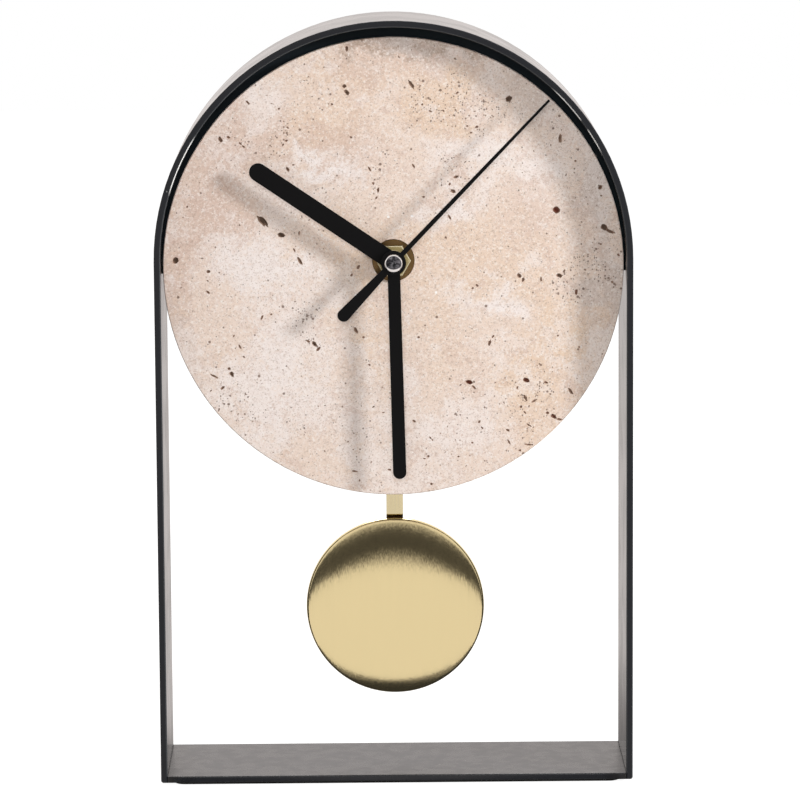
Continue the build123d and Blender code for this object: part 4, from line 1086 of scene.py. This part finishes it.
def makeFloor(facts):
    half, drop = facts["floorHalf"], -facts["floorDrop"]
    data = bpy.data.meshes.new("floor")
    corners = [(-half, -half, drop), (half, -half, drop), (half, half, drop), (-half, half, drop)]
    data.from_pydata(corners, [], [(0, 1, 2, 3)])
    floor = addObject("floor", data)
    material = bpy.data.materials.new("whiteFloor")
    data.materials.append(material)
    tree = clearTree(material)
    path = addNode(tree, "ShaderNodeLightPath").outputs
    paper = addNode(tree, "ShaderNodeBsdfDiffuse", {"Color": facts["floorPaper"]}).outputs[0]
    mirror = addNode(tree, "ShaderNodeEmission", {
        "Color": facts["studioTint"], "Strength": floorLevel(tree, facts)}).outputs[0]
    lit = addNode(tree, "ShaderNodeBsdfDiffuse", {"Color": facts["floorSeen"]}).outputs[0]
    glow = addNode(tree, "ShaderNodeEmission", {"Color": facts["white"], "Strength": facts["cameraGlow"]})
    shown = addNode(tree, "ShaderNodeAddShader", {0: lit, 1: glow.outputs[0]}).outputs[0]
    mixed = addNode(tree, "ShaderNodeMixShader", {0: path["Is Glossy Ray"], 1: paper, 2: mirror}).outputs[0]
    seen = calculate(tree, "MAXIMUM", path["Is Camera Ray"], path["Is Transmission Ray"])
    mixed = addNode(tree, "ShaderNodeMixShader", {0: seen, 1: mixed, 2: shown}).outputs[0]
    addNode(tree, "ShaderNodeOutputMaterial", {0: mixed})


def addLamp(name, place, size, power):
    data = bpy.data.lights.new(name, "AREA")
    data.shape = "SQUARE"
    data.size = size
    data.energy = power
    lamp = addObject(name, data)
    lamp.visible_glossy = False
    lamp.location = place
    lamp.rotation_euler = (dialCentre - Vector(place)).to_track_quat("-Z", "Y").to_euler()
    return lamp


def makeSurroundings(facts):
    # white for the camera, a soft fill for the surfaces, and the studio with its dark band for gloss
    world = bpy.data.worlds.new("studio")
    bpy.context.scene.world = world
    tree = clearTree(world)
    direction = splitPlace(tree, addNode(tree, "ShaderNodeTexCoord").outputs["Generated"])
    # behind the clock it is brighter higher up
    rear = fade(tree, direction["Z"], *facts["highStart"], facts["arcLevel"], facts["highLevel"])
    behind = fade(tree, direction["Y"], *facts["arcStart"], facts["glossLevel"], rear)
    mirrored = times(tree, studioLevel(tree, direction, facts), behind)
    path = addNode(tree, "ShaderNodeLightPath").outputs
    level = blendNumber(tree, path["Is Glossy Ray"], facts["fill"], mirrored)
    level = blendNumber(tree, path["Is Camera Ray"], level, 1.0)
    tint = blendColour(tree, path["Is Glossy Ray"], facts["fillTint"], facts["studioTint"])
    tint = blendColour(tree, path["Is Camera Ray"], tint, facts["white"])
    background = addNode(tree, "ShaderNodeBackground", {"Color": tint, "Strength": level})
    addNode(tree, "ShaderNodeOutputWorld", {0: background.outputs[0]})
    keyPlace = dialCentre + Vector(facts["keyDirection"]).normalized() * facts["keyDistance"]
    addLamp("keyLamp", keyPlace, facts["keySize"], facts["keyPower"])
    front = addLamp("frontLamp", facts["frontPlace"], facts["frontSize"], facts["frontPower"])
    front.data.color = facts["frontTint"]
    rear = addLamp("rearLamp", facts["rearPlace"], facts["rearSize"], facts["rearPower"])
    rear.visible_glossy = True
    bpy.context.scene.view_settings.view_transform = "Standard"


makeCamera(cameraFacts)
print("camera placed")
finishes = makeFinishes()
dressFrame(finishes)
print(len(finishes), "finishes made")
makeDial(holeFacts, finishes)
makeBob(bobFacts, finishes)
makeFloor(stageFacts)
makeSurroundings(stageFacts)
print("floor, lamps and surroundings ready")
